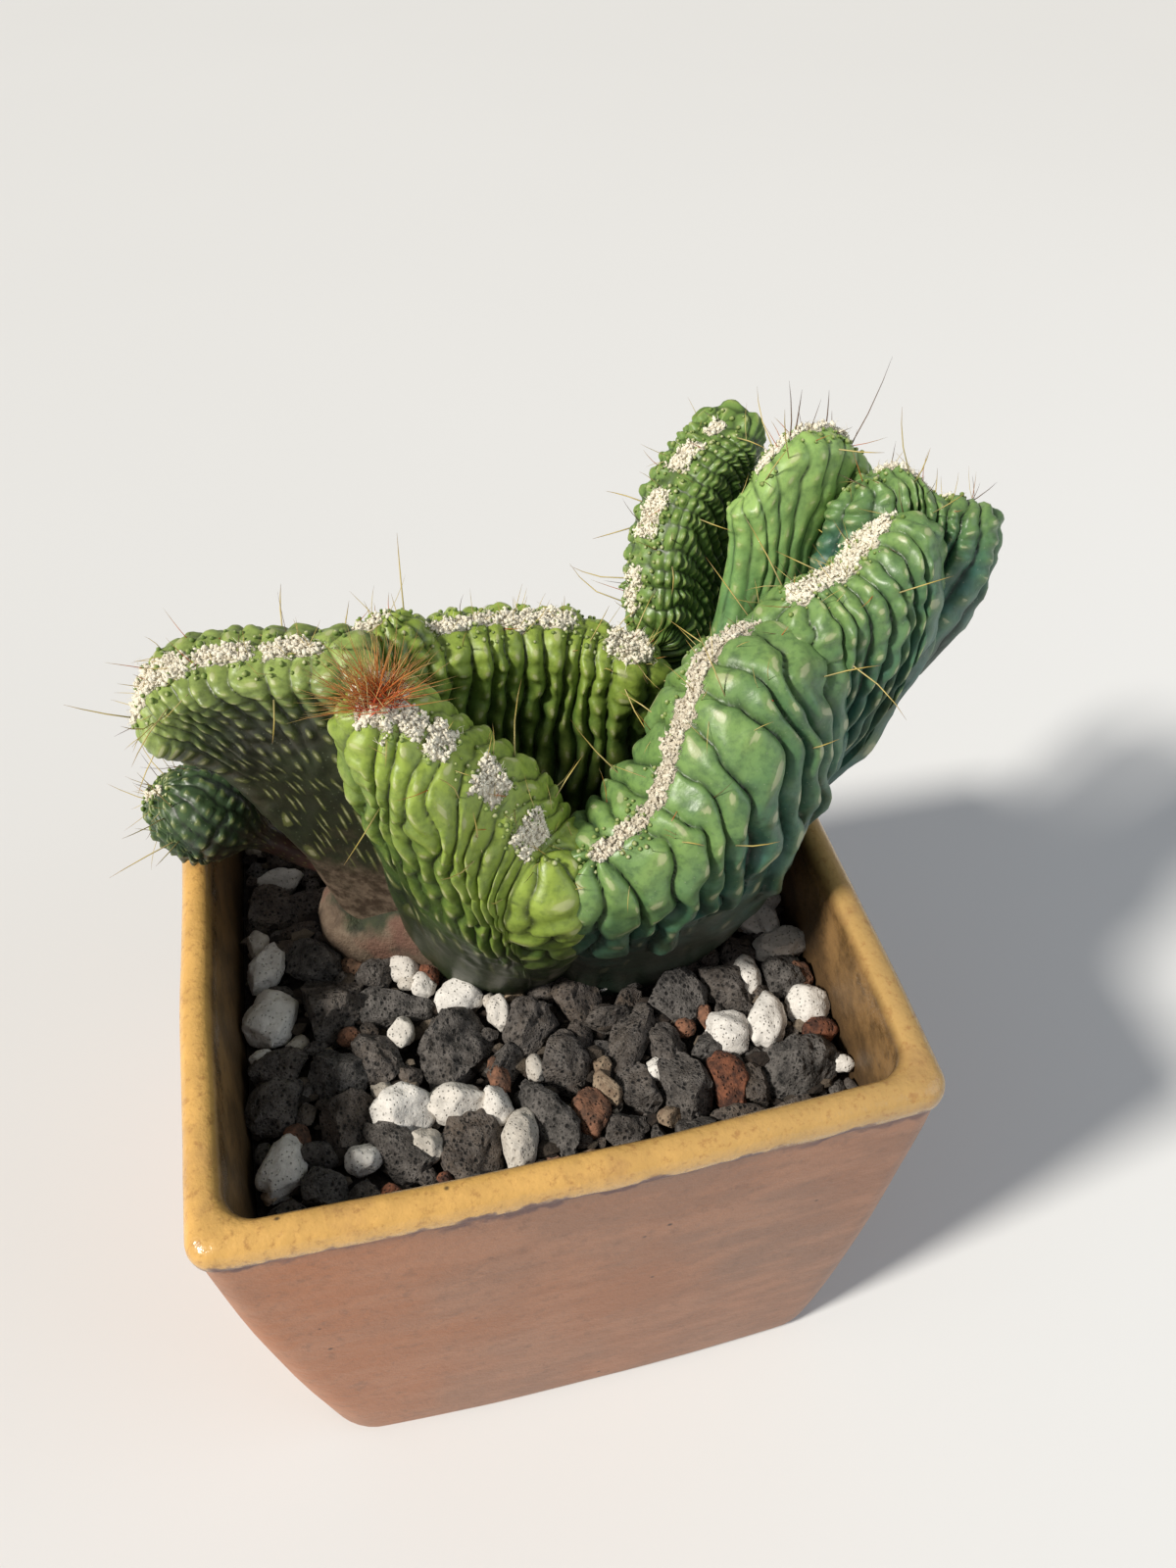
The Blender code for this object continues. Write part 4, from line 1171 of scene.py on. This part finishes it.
def make_grit(stones, crumbs, lava_colour, pumice_colour):
    rng = random.Random(41)
    limit = wall_half(GRIT_LEVEL) - WALL - 0.3
    placed = []
    groups = {"lava": [], "pumice": [], "red": []}
    tones = {"lava": [], "pumice": [], "red": []}

    def put(group, x, y, z, size, stretch, turn, tone, level, cut):
        reach = limit - size
        x, y = max(-reach, min(reach, x)), max(-reach, min(reach, y))
        lump = place_rock(rock(level, rng, **cut), (x, y, z), size, stretch, turn, rng.uniform(0.75, 0.95), rng)
        groups[group].append(lump)
        tones[group].append(tone)

    for x, y, size, stretch, turn in LAVA_STONES:
        placed.append((x, y, size))
        z = GRIT_LEVEL - STONE_PULL_DOWN * size + rng.uniform(0, 0.8)
        level = 5 if size > 4.7 else 4
        put("lava", x, y, z, size * 1.06, stretch, math.radians(turn), rng.choice((0, 0.1, 0.2, 0.4)), level, LAVA_CUT)
    for x, y, size, stretch, turn in WHITE_STONES:
        placed.append((x, y, size))
        tone = rng.choice((0.0, 0.0, 0.1, 0.25, 0.5))
        put("pumice", x, y, GRIT_LEVEL + 0.9, size, stretch, math.radians(turn), tone, 4 if size > 1.8 else 3, PUMICE_CUT)
    for x, y, size, stretch, turn in RED_STONES:
        placed.append((x, y, size))
        put("red", x, y, GRIT_LEVEL + 0.6, size, stretch, math.radians(turn), rng.choice((0, 0.2, 1)), 4, RED_CUT)
    sizes = [3.6 - 2.7 * (k / stones) ** 0.8 for k in range(stones)]
    for x, y, z, size in free_spots(rng, sizes, placed, limit, 0.78, (-1.5, 0.5)):
        kind, stretch, turn = rng.random(), rng.uniform(0.9, 1.5), rng.uniform(0, math.pi)
        level = 4 if size > 2.6 else 3 if size > 1.6 else 2
        if kind < 0.72:
            put("lava", x, y, z, size, stretch, turn, rng.uniform(0, 0.6), level, SMALL_LAVA_CUT)
        elif kind < 0.87:
            put("pumice", x, y, z, size * 0.85, stretch, turn, rng.uniform(0.1, 0.9), level, PUMICE_CUT)
        else:
            put("red", x, y, z, size * 0.85, stretch, turn, rng.random(), level, RED_CUT)
    finishes = {"lava": lava_finish(lava_colour), "pumice": pumice_finish(pumice_colour), "red": red_finish()}
    for group, parts in groups.items():
        thing = gather(f"{group}_stones", parts, {"tone": tones[group]})
        settle(thing, finishes[group], "grit", 32 if group == "lava" else 60)
    soil = soil_finish()
    make_crumbs(crumbs, rng, limit, soil)
    make_soil(limit, soil)


def make_crumbs(crumbs, rng, limit, finish):
    """Broken bits of all kinds that fill the gaps between the stones."""
    parts, tones = [], []
    for k in range(crumbs):
        size = rng.uniform(0.35, 1.0) if k % 4 else rng.uniform(1.0, 1.8)
        points, triangles = ico(1 if size > 0.7 else 0)
        reach = limit - size
        x, y = rng.uniform(-reach, reach), rng.uniform(-reach, reach)
        lump = np.array([[c * rng.uniform(0.7, 1.2) for c in p] for p in points])
        lump = turned(lump, rng) * np.array([1.2, 0.85, 0.7]) * size
        parts.append((lump + np.array([x, y, GRIT_LEVEL - 1.0 + rng.uniform(-0.8, 1.4)]), triangles))
        tones.append(rng.random() ** 3)
    thing = gather("grit_crumbs", parts, {"tone": tones})
    return settle(thing, finish, "grit", 30)


def make_soil(limit, finish):
    """The bed under the stones, uneven on top."""
    rings = []
    for z, inset in ((FLOOR + 0.6, 2.2), (8.6, 0.3), (26.0, 0.3), (50.0, 0.3), (GRIT_LEVEL - 2.4, 0.3)):
        rings.append(ring_of(wall_half(z) - WALL - inset, inner_corner(z), z, 6, 10))
    edge = np.array(rings[-1])
    for share in (0.97, 0.92, 0.84, 0.74, 0.63, 0.51, 0.39, 0.27, 0.15, 0.05, 0.0):
        rings.append((edge * np.array([share, share, 1.0])).tolist())
    points = np.concatenate([np.array([[(0, 0, FLOOR + 0.6)] * len(edge)]), np.array(rings)])
    top = points[6:, :, 2]
    points[6:, :, 2] = top + 0.8 * ripple(points[6:], 6.0, 3) * 0.9
    points[-1] = points[-1].mean(axis=0)
    thing = grid_piece("soil_bed", points)
    set_marks(thing, {"tone": np.zeros((points.shape[0], points.shape[1] + 1))})
    close_piece(thing)
    return settle(thing, finish, "grit", 50)


def cell_areas(points):
    """The area of each cell of a fan's grid, in square millimetres."""
    across = np.roll(points, -1, axis=1) - points
    up = points[1:] - points[:-1]
    return np.linalg.norm(np.cross(across[:-1], up), axis=-1)


def strewn(name, weight, density, rng):
    """Random spots on a finished fan, density a square millimetre where weight is 1: points and ways out."""
    skin = SURFACES[name]
    points = skin["points"]
    share = cell_areas(points) * np.clip(weight[:-1], 0, None)
    total = share.sum()
    if total * density < 1:
        return []
    picks = rng.choice(share.size, int(total * density), p=(share / total).ravel())
    row, column = np.divmod(picks, points.shape[1])
    beside = np.roll(points, -1, axis=1)[row, column] - points[row, column]
    above = points[row + 1, column] - points[row, column]
    spots = points[row, column] + beside * rng.random((len(picks), 1)) + above * rng.random((len(picks), 1))
    return list(zip(spots, skin["facing"][row, column]))


def make_wool(finish, density):
    """Felt along the crests: crumbly tufts of many small lumps, with loose hairs between them."""
    rng, spots_rng = random.Random(77), np.random.default_rng(78)
    ball, faces = ico(0)
    parts, tones, hairs, hair_tones = [], [], [], []
    for name, fan in FANS.items():
        weight = smooth((SURFACES[name]["wool"] - 0.25) / 0.5)
        for spot, way in strewn(name, weight, density, spots_rng):
            size = rng.uniform(0.12, 0.34)
            lump = ball * np.array([[rng.uniform(0.7, 1.3)] for _ in ball])
            lump = turned(lump * np.array([1.4, 0.85, 0.7]), rng) * size
            parts.append((lump + spot + way * rng.uniform(-0.05, 0.45), faces))
            tones.append(min(1.0, max(0.0, fan.dull_wool + rng.gauss(-0.05, 0.15))))
        for spot, way in strewn(name, weight, density * 0.26, spots_rng):
            lean = way + np.array([rng.gauss(0, 0.9) for _ in range(3)])
            points, triangles, _ = needle(spot, unit(lean), rng.uniform(0.5, 1.6), 0.04, rng, 3, 0.25)
            hairs.append((points, triangles))
            hair_tones.append(min(1.0, max(0.0, fan.dull_wool + rng.gauss(-0.1, 0.15))))
    settle(gather("crest_wool", parts, {"tone": tones}), finish, "cactus")
    settle(gather("wool_hairs", hairs, {"tone": hair_tones}), finish, "cactus")


def bead_band(fan, skin):
    """Where young tubercles crowd beside the felt, from the fan's list of middle, spread, side and density."""
    off = fan.half * (math.pi / 2 - skin["angle"])
    band = smooth((off - 0.5) / 0.8) * smooth((4.6 - off) / 1.6) * (skin["body"] > 0.99)
    side = np.where(skin["column"] < fan.fine_ribs + fan.fine_ends / 2, 1, -1)
    weight = np.zeros_like(off)
    for middle, spread, sign, density in fan.beads:
        near = smooth(1.4 - np.abs(skin["u"] - middle) / spread)
        weight = np.maximum(weight, density * near * (side == sign))
    return band * weight


def make_beads(finish):
    """Young tubercles beside the felt."""
    rng, spots_rng = random.Random(91), np.random.default_rng(92)
    ball, faces = ico(1)
    parts, tones = [], []
    for name, fan in FANS.items():
        kept = []
        for spot, way in strewn(name, bead_band(fan, SURFACES[name]), 1.0, spots_rng):
            if all(np.linalg.norm(spot - other) > 0.72 for other in kept):
                kept.append(spot)
                size = rng.uniform(0.2, 0.42)
                lump = ball * size * np.array([rng.uniform(0.85, 1.15) for _ in range(3)])
                parts.append((lump + spot + way * 0.12, faces))
                tones.append(np.clip(0.18 + 0.62 * (ball @ way) + rng.uniform(-0.2, 0.12), 0, 1))
    thing = gather("young_tubercles", parts, {"tone": tones})
    return settle(thing, finish, "cactus")


def main_spines():
    """The spines of the solids: base, way, length and tone."""
    rng = random.Random(SPINE_SEED)
    found = [(np.array(base), np.array(way), length, 0.8) for base, way, length in TALL_SPINES]
    for k in range(CROWN_SPINES):
        swing = math.pi * (k + 0.5) / CROWN_SPINES
        tilt = CROWN_TILTS[k % len(CROWN_TILTS)]
        way = unit(np.array(CROWN_ACROSS) * math.cos(swing) + np.array(CROWN_UP) * math.sin(swing))
        way = unit(way + tilt * np.array(CROWN_FORWARD))
        found.append((np.array(CROWN_PLACE), way, rng.uniform(*CROWN_LENGTHS), 0.2))
    for fan in FANS.values():
        count = 0
        while count < fan.spines:
            column = rng.randrange(2 * (fan.ribs + fan.end_ribs))
            level = rng.uniform(*SPINE_LEVELS)
            base, facing = solid_surface(fan, column, level)
            lean = [rng.uniform(-SPINE_LEAN, SPINE_LEAN) for _ in range(3)]
            way = unit(facing + np.array(lean))
            length = rng.uniform(*SPINE_LENGTHS)
            if (base + way * length)[2] > LOWEST_SPINE_TIP:
                found.append((base, way, length, 0.5))
                count += 1
    return found


def fine_spines(rng):
    """Thinner spines that the solids leave out, in the felt and at the brush."""
    found = []
    for _ in range(BRUSH_SPINES):
        swing = rng.uniform(-0.1, math.pi + 0.1)
        way = np.array(CROWN_ACROSS) * math.cos(swing) + np.array(CROWN_UP) * math.sin(swing)
        way = unit(way + rng.uniform(-0.5, 0.8) * np.array(CROWN_FORWARD))
        base = np.array(CROWN_PLACE) + np.array([rng.gauss(0, 1.1), rng.gauss(0, 0.8), rng.gauss(-0.7, 0.4)])
        found.append((base, way, rng.uniform(3.5, 9.5), rng.choice((0.1, 0.15, 0.2, 0.5))))
    spots_rng = np.random.default_rng(12)
    for name, fan in FANS.items():
        skin = SURFACES[name]
        spots = strewn(name, smooth((np.sin(skin["angle"]) - 0.35) / 0.4) * (0.35 + skin["wool"]), 1.0, spots_rng)
        for spot, way in spots[: fan.hairs]:
            way = unit(way + np.array([rng.gauss(0, 0.55) for _ in range(3)]))
            tone = rng.choice((0.2, 0.5, 0.5, 0.5, 0.8))
            found.append((spot, way, rng.uniform(1.5, 5.5), tone))
    return found


def needle(base, way, length, radius, rng, sides=4, bow=0.03):
    """A slightly bowed needle: points, triangles and the share along it."""
    side = unit(np.cross(way, (0.3, 0.5, 0.81)))
    other = np.cross(way, side)
    bend = (side * rng.gauss(0, bow) + other * rng.gauss(0, bow)) * length
    points, along, faces = [], [], []
    stations = ((-0.08, 1.0), (0.4, 0.85), (0.75, 0.55), (1.0, 0.12)) if sides > 3 else ((0, 1.0), (0.5, 0.8), (1.0, 0.3))
    for share, thick in stations:
        centre = base + way * length * share + bend * 4 * share * (1 - share)
        for k in range(sides):
            angle = 2 * math.pi / sides * k
            points.append(centre + (side * math.cos(angle) + other * math.sin(angle)) * radius * thick)
            along.append(max(0.0, share))
    last = len(points) - sides
    for k in range(1, sides - 1):
        faces += [(0, k + 1, k), (last, last + k, last + k + 1)]
    for row in range(len(stations) - 1):
        for k in range(sides):
            a, b = row * sides + k, row * sides + (k + 1) % sides
            faces += [(a, b, b + sides), (a, b + sides, a + sides)]
    return np.array(points), np.array(faces), np.array(along)


def make_spines(finish, thickness):
    rng = random.Random(5)
    low, high = (np.array(corner) / MM for corner in CAD_BOX)
    parts, tones, alongs = [], [], []
    for radius, group in ((thickness / 2, main_spines()), (thickness / 4, fine_spines(rng))):
        for base, way, length, tone in group:
            way = unit(np.array(way, float))
            tip = base + way * length
            if (tip < low + 0.3).any() or (tip > high - 0.3).any():
                way = way * 0.8
            points, faces, along = needle(base, way, length, radius, rng)
            parts.append((points, faces))
            tones.append(tone)
            alongs.append(along)
    thing = gather("spines", parts, {"tone": tones, "along": alongs})
    return settle(thing, finish, "cactus")


class PotSettings(bpy.types.PropertyGroup):
    """The pot's glaze and clay."""

    wall_colour: bpy.props.FloatVectorProperty(
        name="Wall", description="Colour of the outer walls", default=(0.34, 0.165, 0.095), subtype="COLOR", min=0, max=1
    )
    glaze_colour: bpy.props.FloatVectorProperty(
        name="Lip glaze", description="Colour of the lip", default=(0.74, 0.43, 0.13), subtype="COLOR", min=0, max=1
    )
    inner_colour: bpy.props.FloatVectorProperty(
        name="Inner wall", description="Colour inside the lip", default=(0.3, 0.17, 0.065), subtype="COLOR", min=0, max=1
    )
    unevenness: bpy.props.FloatProperty(
        name="Unevenness",
        description="How far the hand-finished walls wander inwards",
        default=0.00012,
        min=0.0,
        max=0.0004,
        precision=5,
        subtype="DISTANCE",
        unit="LENGTH",
    )


class GritSettings(bpy.types.PropertyGroup):
    """The stones in the pot."""

    stones: bpy.props.IntProperty(
        name="Strewn stones", description="Stones strewn between the large ones", default=330, min=1, max=500
    )
    crumbs: bpy.props.IntProperty(
        name="Crumbs", description="Small bits between the stones", default=1400, min=1, max=3000
    )
    lava_colour: bpy.props.FloatVectorProperty(
        name="Lava", description="Colour of the dark lava", default=(0.075, 0.068, 0.063), subtype="COLOR", min=0, max=1
    )
    pumice_colour: bpy.props.FloatVectorProperty(
        name="Pumice", description="Colour of the pale stones", default=(0.82, 0.78, 0.73), subtype="COLOR", min=0, max=1
    )


class PlantSettings(bpy.types.PropertyGroup):
    """The cactus's ribs, felt and spines."""

    rib_height: bpy.props.FloatProperty(
        name="Rib height", description="Height of ribs and noses against the usual", default=1.0, min=0.0, max=1.3
    )
    felt_colour: bpy.props.FloatVectorProperty(
        name="Felt", description="Colour of clean felt", default=(1.0, 0.93, 0.76), subtype="COLOR", min=0, max=1
    )
    dull_felt_colour: bpy.props.FloatVectorProperty(
        name="Old felt", description="Colour of dusty felt", default=(0.52, 0.43, 0.31), subtype="COLOR", min=0, max=1
    )
    felt_density: bpy.props.FloatProperty(
        name="Felt density", description="Tufts of felt on a square millimetre", default=10.0, min=0.5, max=30.0
    )
    spine_thickness: bpy.props.FloatProperty(
        name="Spine thickness",
        description="Thickness of the long spines at the root",
        default=0.0002,
        min=0.0001,
        max=0.0005,
        precision=5,
        subtype="DISTANCE",
        unit="LENGTH",
    )


class StageSettings(bpy.types.PropertyGroup):
    """The camera, the lights and the floor."""

    camera_place: bpy.props.FloatVectorProperty(
        name="Camera place",
        description="Where the camera stands",
        default=(-0.01376, -0.10479, 0.20176),
        subtype="TRANSLATION",
        unit="LENGTH",
    )
    camera_turn: bpy.props.FloatVectorProperty(
        name="Camera turn",
        description="The camera's turn about X, Y and Z",
        default=(math.radians(44.87), math.radians(0.293), math.radians(-13.239)),
        subtype="EULER",
    )
    lens: bpy.props.FloatProperty(
        name="Lens",
        description="Focal length on a 36 mm tall sensor, in millimetres",
        default=26.947,
        min=10.0,
    )
    key_strength: bpy.props.FloatProperty(
        name="Key light",
        description="Strength of the main soft light from the upper left",
        default=3.9,
        min=0.0,
    )
    fill_power: bpy.props.FloatProperty(
        name="Fill light",
        description="Power of the soft light from the right",
        default=0.9,
        min=0.0,
        unit="POWER",
    )
    room: bpy.props.FloatProperty(
        name="Room light",
        description="Strength of the even light from all round",
        default=0.27,
        min=0.0,
    )


def aim(thing, target):
    """Turns a light's -Z at a point."""
    way = unit(np.array(target) - np.array(thing.location))
    thing.rotation_euler = (math.acos(-way[2]), 0, math.atan2(-way[0], way[1]))


def light(name, kind, place, power, colour, size):
    """A soft light aimed at the plant; size is a panel's width or a distant light's spread in radians."""
    lamp = bpy.data.lights.new(name, kind)
    lamp.energy = power
    lamp.color = colour
    if kind == "SUN":
        lamp.angle = size
    else:
        lamp.shape = "DISK"
        lamp.size = size
    thing = bpy.data.objects.new(name, lamp)
    bpy.context.scene.collection.objects.link(thing)
    thing.location = place
    aim(thing, (0, 0, 0.08))
    return thing


class CACTUS_OT_stage(bpy.types.Operator):
    """Builds the pale floor, the soft lights and the camera"""

    bl_idname = "crested_cactus.stage"
    bl_label = "Stage"

    def execute(self, context):
        settings = context.scene.crested_stage
        deselect()
        bpy.ops.mesh.primitive_grid_add(x_subdivisions=8, y_subdivisions=8, size=6.0, calc_uvs=False)
        floor = context.active_object
        floor.name = "studio_floor"
        floor.data.materials.append(floor_finish())
        light("key", "SUN", (-0.66, -0.2, 0.68), settings.key_strength, (1.0, 0.96, 0.88), math.radians(8))
        light("fill", "AREA", (0.5, -0.25, 0.35), settings.fill_power, (0.8, 0.9, 1.0), 0.5)
        context.scene.view_settings.view_transform = "Standard"
        world = context.scene.world or bpy.data.worlds.new("room")
        context.scene.world = world
        world.use_nodes = True
        background = world.node_tree.nodes["Background"]
        background.inputs["Color"].default_value = (0.95, 0.97, 1.0, 1)
        background.inputs["Strength"].default_value = settings.room
        camera = bpy.data.objects.new("camera", bpy.data.cameras.new("camera"))
        context.scene.collection.objects.link(camera)
        camera.data.sensor_fit = "VERTICAL"
        camera.data.sensor_height = 36.0
        camera.data.sensor_width = 27.0
        camera.data.lens = settings.lens
        camera.data.clip_start = 0.005
        camera.location = settings.camera_place
        camera.rotation_euler = settings.camera_turn
        context.scene.camera = camera
        return {"FINISHED"}


class CACTUS_OT_pot(bpy.types.Operator):
    """Builds the square clay pot with its glazed lip"""

    bl_idname = "crested_cactus.pot"
    bl_label = "Pot"

    def execute(self, context):
        chosen = context.scene.crested_pot
        finish = pot_finish(tuple(chosen.wall_colour), tuple(chosen.glaze_colour), tuple(chosen.inner_colour))
        make_pot(finish, chosen.unevenness / MM)
        return {"FINISHED"}


class CACTUS_OT_grit(bpy.types.Operator):
    """Builds the lava, pumice and soil that fill the pot"""

    bl_idname = "crested_cactus.grit"
    bl_label = "Grit"

    def execute(self, context):
        chosen = context.scene.crested_grit
        make_grit(chosen.stones, chosen.crumbs, tuple(chosen.lava_colour), tuple(chosen.pumice_colour))
        return {"FINISHED"}


class CACTUS_OT_fans(bpy.types.Operator):
    """Builds the stem and the ribbed fans"""

    bl_idname = "crested_cactus.fans"
    bl_label = "Fans"

    def execute(self, context):
        chosen = context.scene.crested_plant
        felt, dull = np.array(chosen.felt_colour), np.array(chosen.dull_felt_colour)
        make_fan("stem", TRUNK, 100, cork_finish(), chosen.rib_height)
        for k, (name, fan) in enumerate(FANS.items()):
            clean = tuple(float(c) for c in felt + (dull - felt) * fan.dull_wool)
            finish = skin_finish(f"skin_{name}", *SKINS[fan.skin], clean, tuple(float(c) for c in dull), fan.foot)
            make_fan(name, fan, k + 1, finish, chosen.rib_height)
        return {"FINISHED"}


class CACTUS_OT_wool(bpy.types.Operator):
    """Builds the felt and the young tubercles along the crests of the finished fans"""

    bl_idname = "crested_cactus.wool"
    bl_label = "Wool"

    def execute(self, context):
        if not SURFACES:
            raise RuntimeError("the fans come before their felt")
        chosen = context.scene.crested_plant
        make_wool(wool_finish(tuple(chosen.felt_colour), tuple(chosen.dull_felt_colour)), chosen.felt_density)
        make_beads(bead_finish())
        return {"FINISHED"}


class CACTUS_OT_spines(bpy.types.Operator):
    """Builds the spines on the finished fans"""

    bl_idname = "crested_cactus.spines"
    bl_label = "Spines"

    def execute(self, context):
        if not SURFACES:
            raise RuntimeError("the fans come before their spines")
        make_spines(spine_finish(), context.scene.crested_plant.spine_thickness / MM)
        return {"FINISHED"}


class CACTUS_PT_panel(bpy.types.Panel):
    """Lists the settings, the pieces and the stage"""

    bl_idname = "CACTUS_PT_panel"
    bl_label = "Crested Cactus"
    bl_space_type = "VIEW_3D"
    bl_region_type = "UI"
    bl_category = "Crested Cactus"

    def draw(self, context):
        for name, kind in SETTINGS.items():
            box = self.layout.box()
            for key in kind.__annotations__:
                box.prop(getattr(context.scene, name), key)
        for operator in OPERATORS:
            self.layout.operator(operator.bl_idname)


SETTINGS = {
    "crested_pot": PotSettings,
    "crested_grit": GritSettings,
    "crested_plant": PlantSettings,
    "crested_stage": StageSettings,
}
OPERATORS = (
    CACTUS_OT_stage,
    CACTUS_OT_pot,
    CACTUS_OT_grit,
    CACTUS_OT_fans,
    CACTUS_OT_wool,
    CACTUS_OT_spines,
)
CLASSES = (*SETTINGS.values(), *OPERATORS, CACTUS_PT_panel)


def register():
    for kind in CLASSES:
        bpy.utils.register_class(kind)
    for name, kind in SETTINGS.items():
        setattr(bpy.types.Scene, name, bpy.props.PointerProperty(type=kind))


def unregister():
    for name in SETTINGS:
        delattr(bpy.types.Scene, name)
    for kind in reversed(CLASSES):
        bpy.utils.unregister_class(kind)


def main():
    register()
    bpy.ops.crested_cactus.stage()
    bpy.ops.crested_cactus.pot()
    bpy.ops.crested_cactus.grit()
    bpy.ops.crested_cactus.fans()
    bpy.ops.crested_cactus.wool()
    bpy.ops.crested_cactus.spines()


if __name__ == "__main__":
    main()
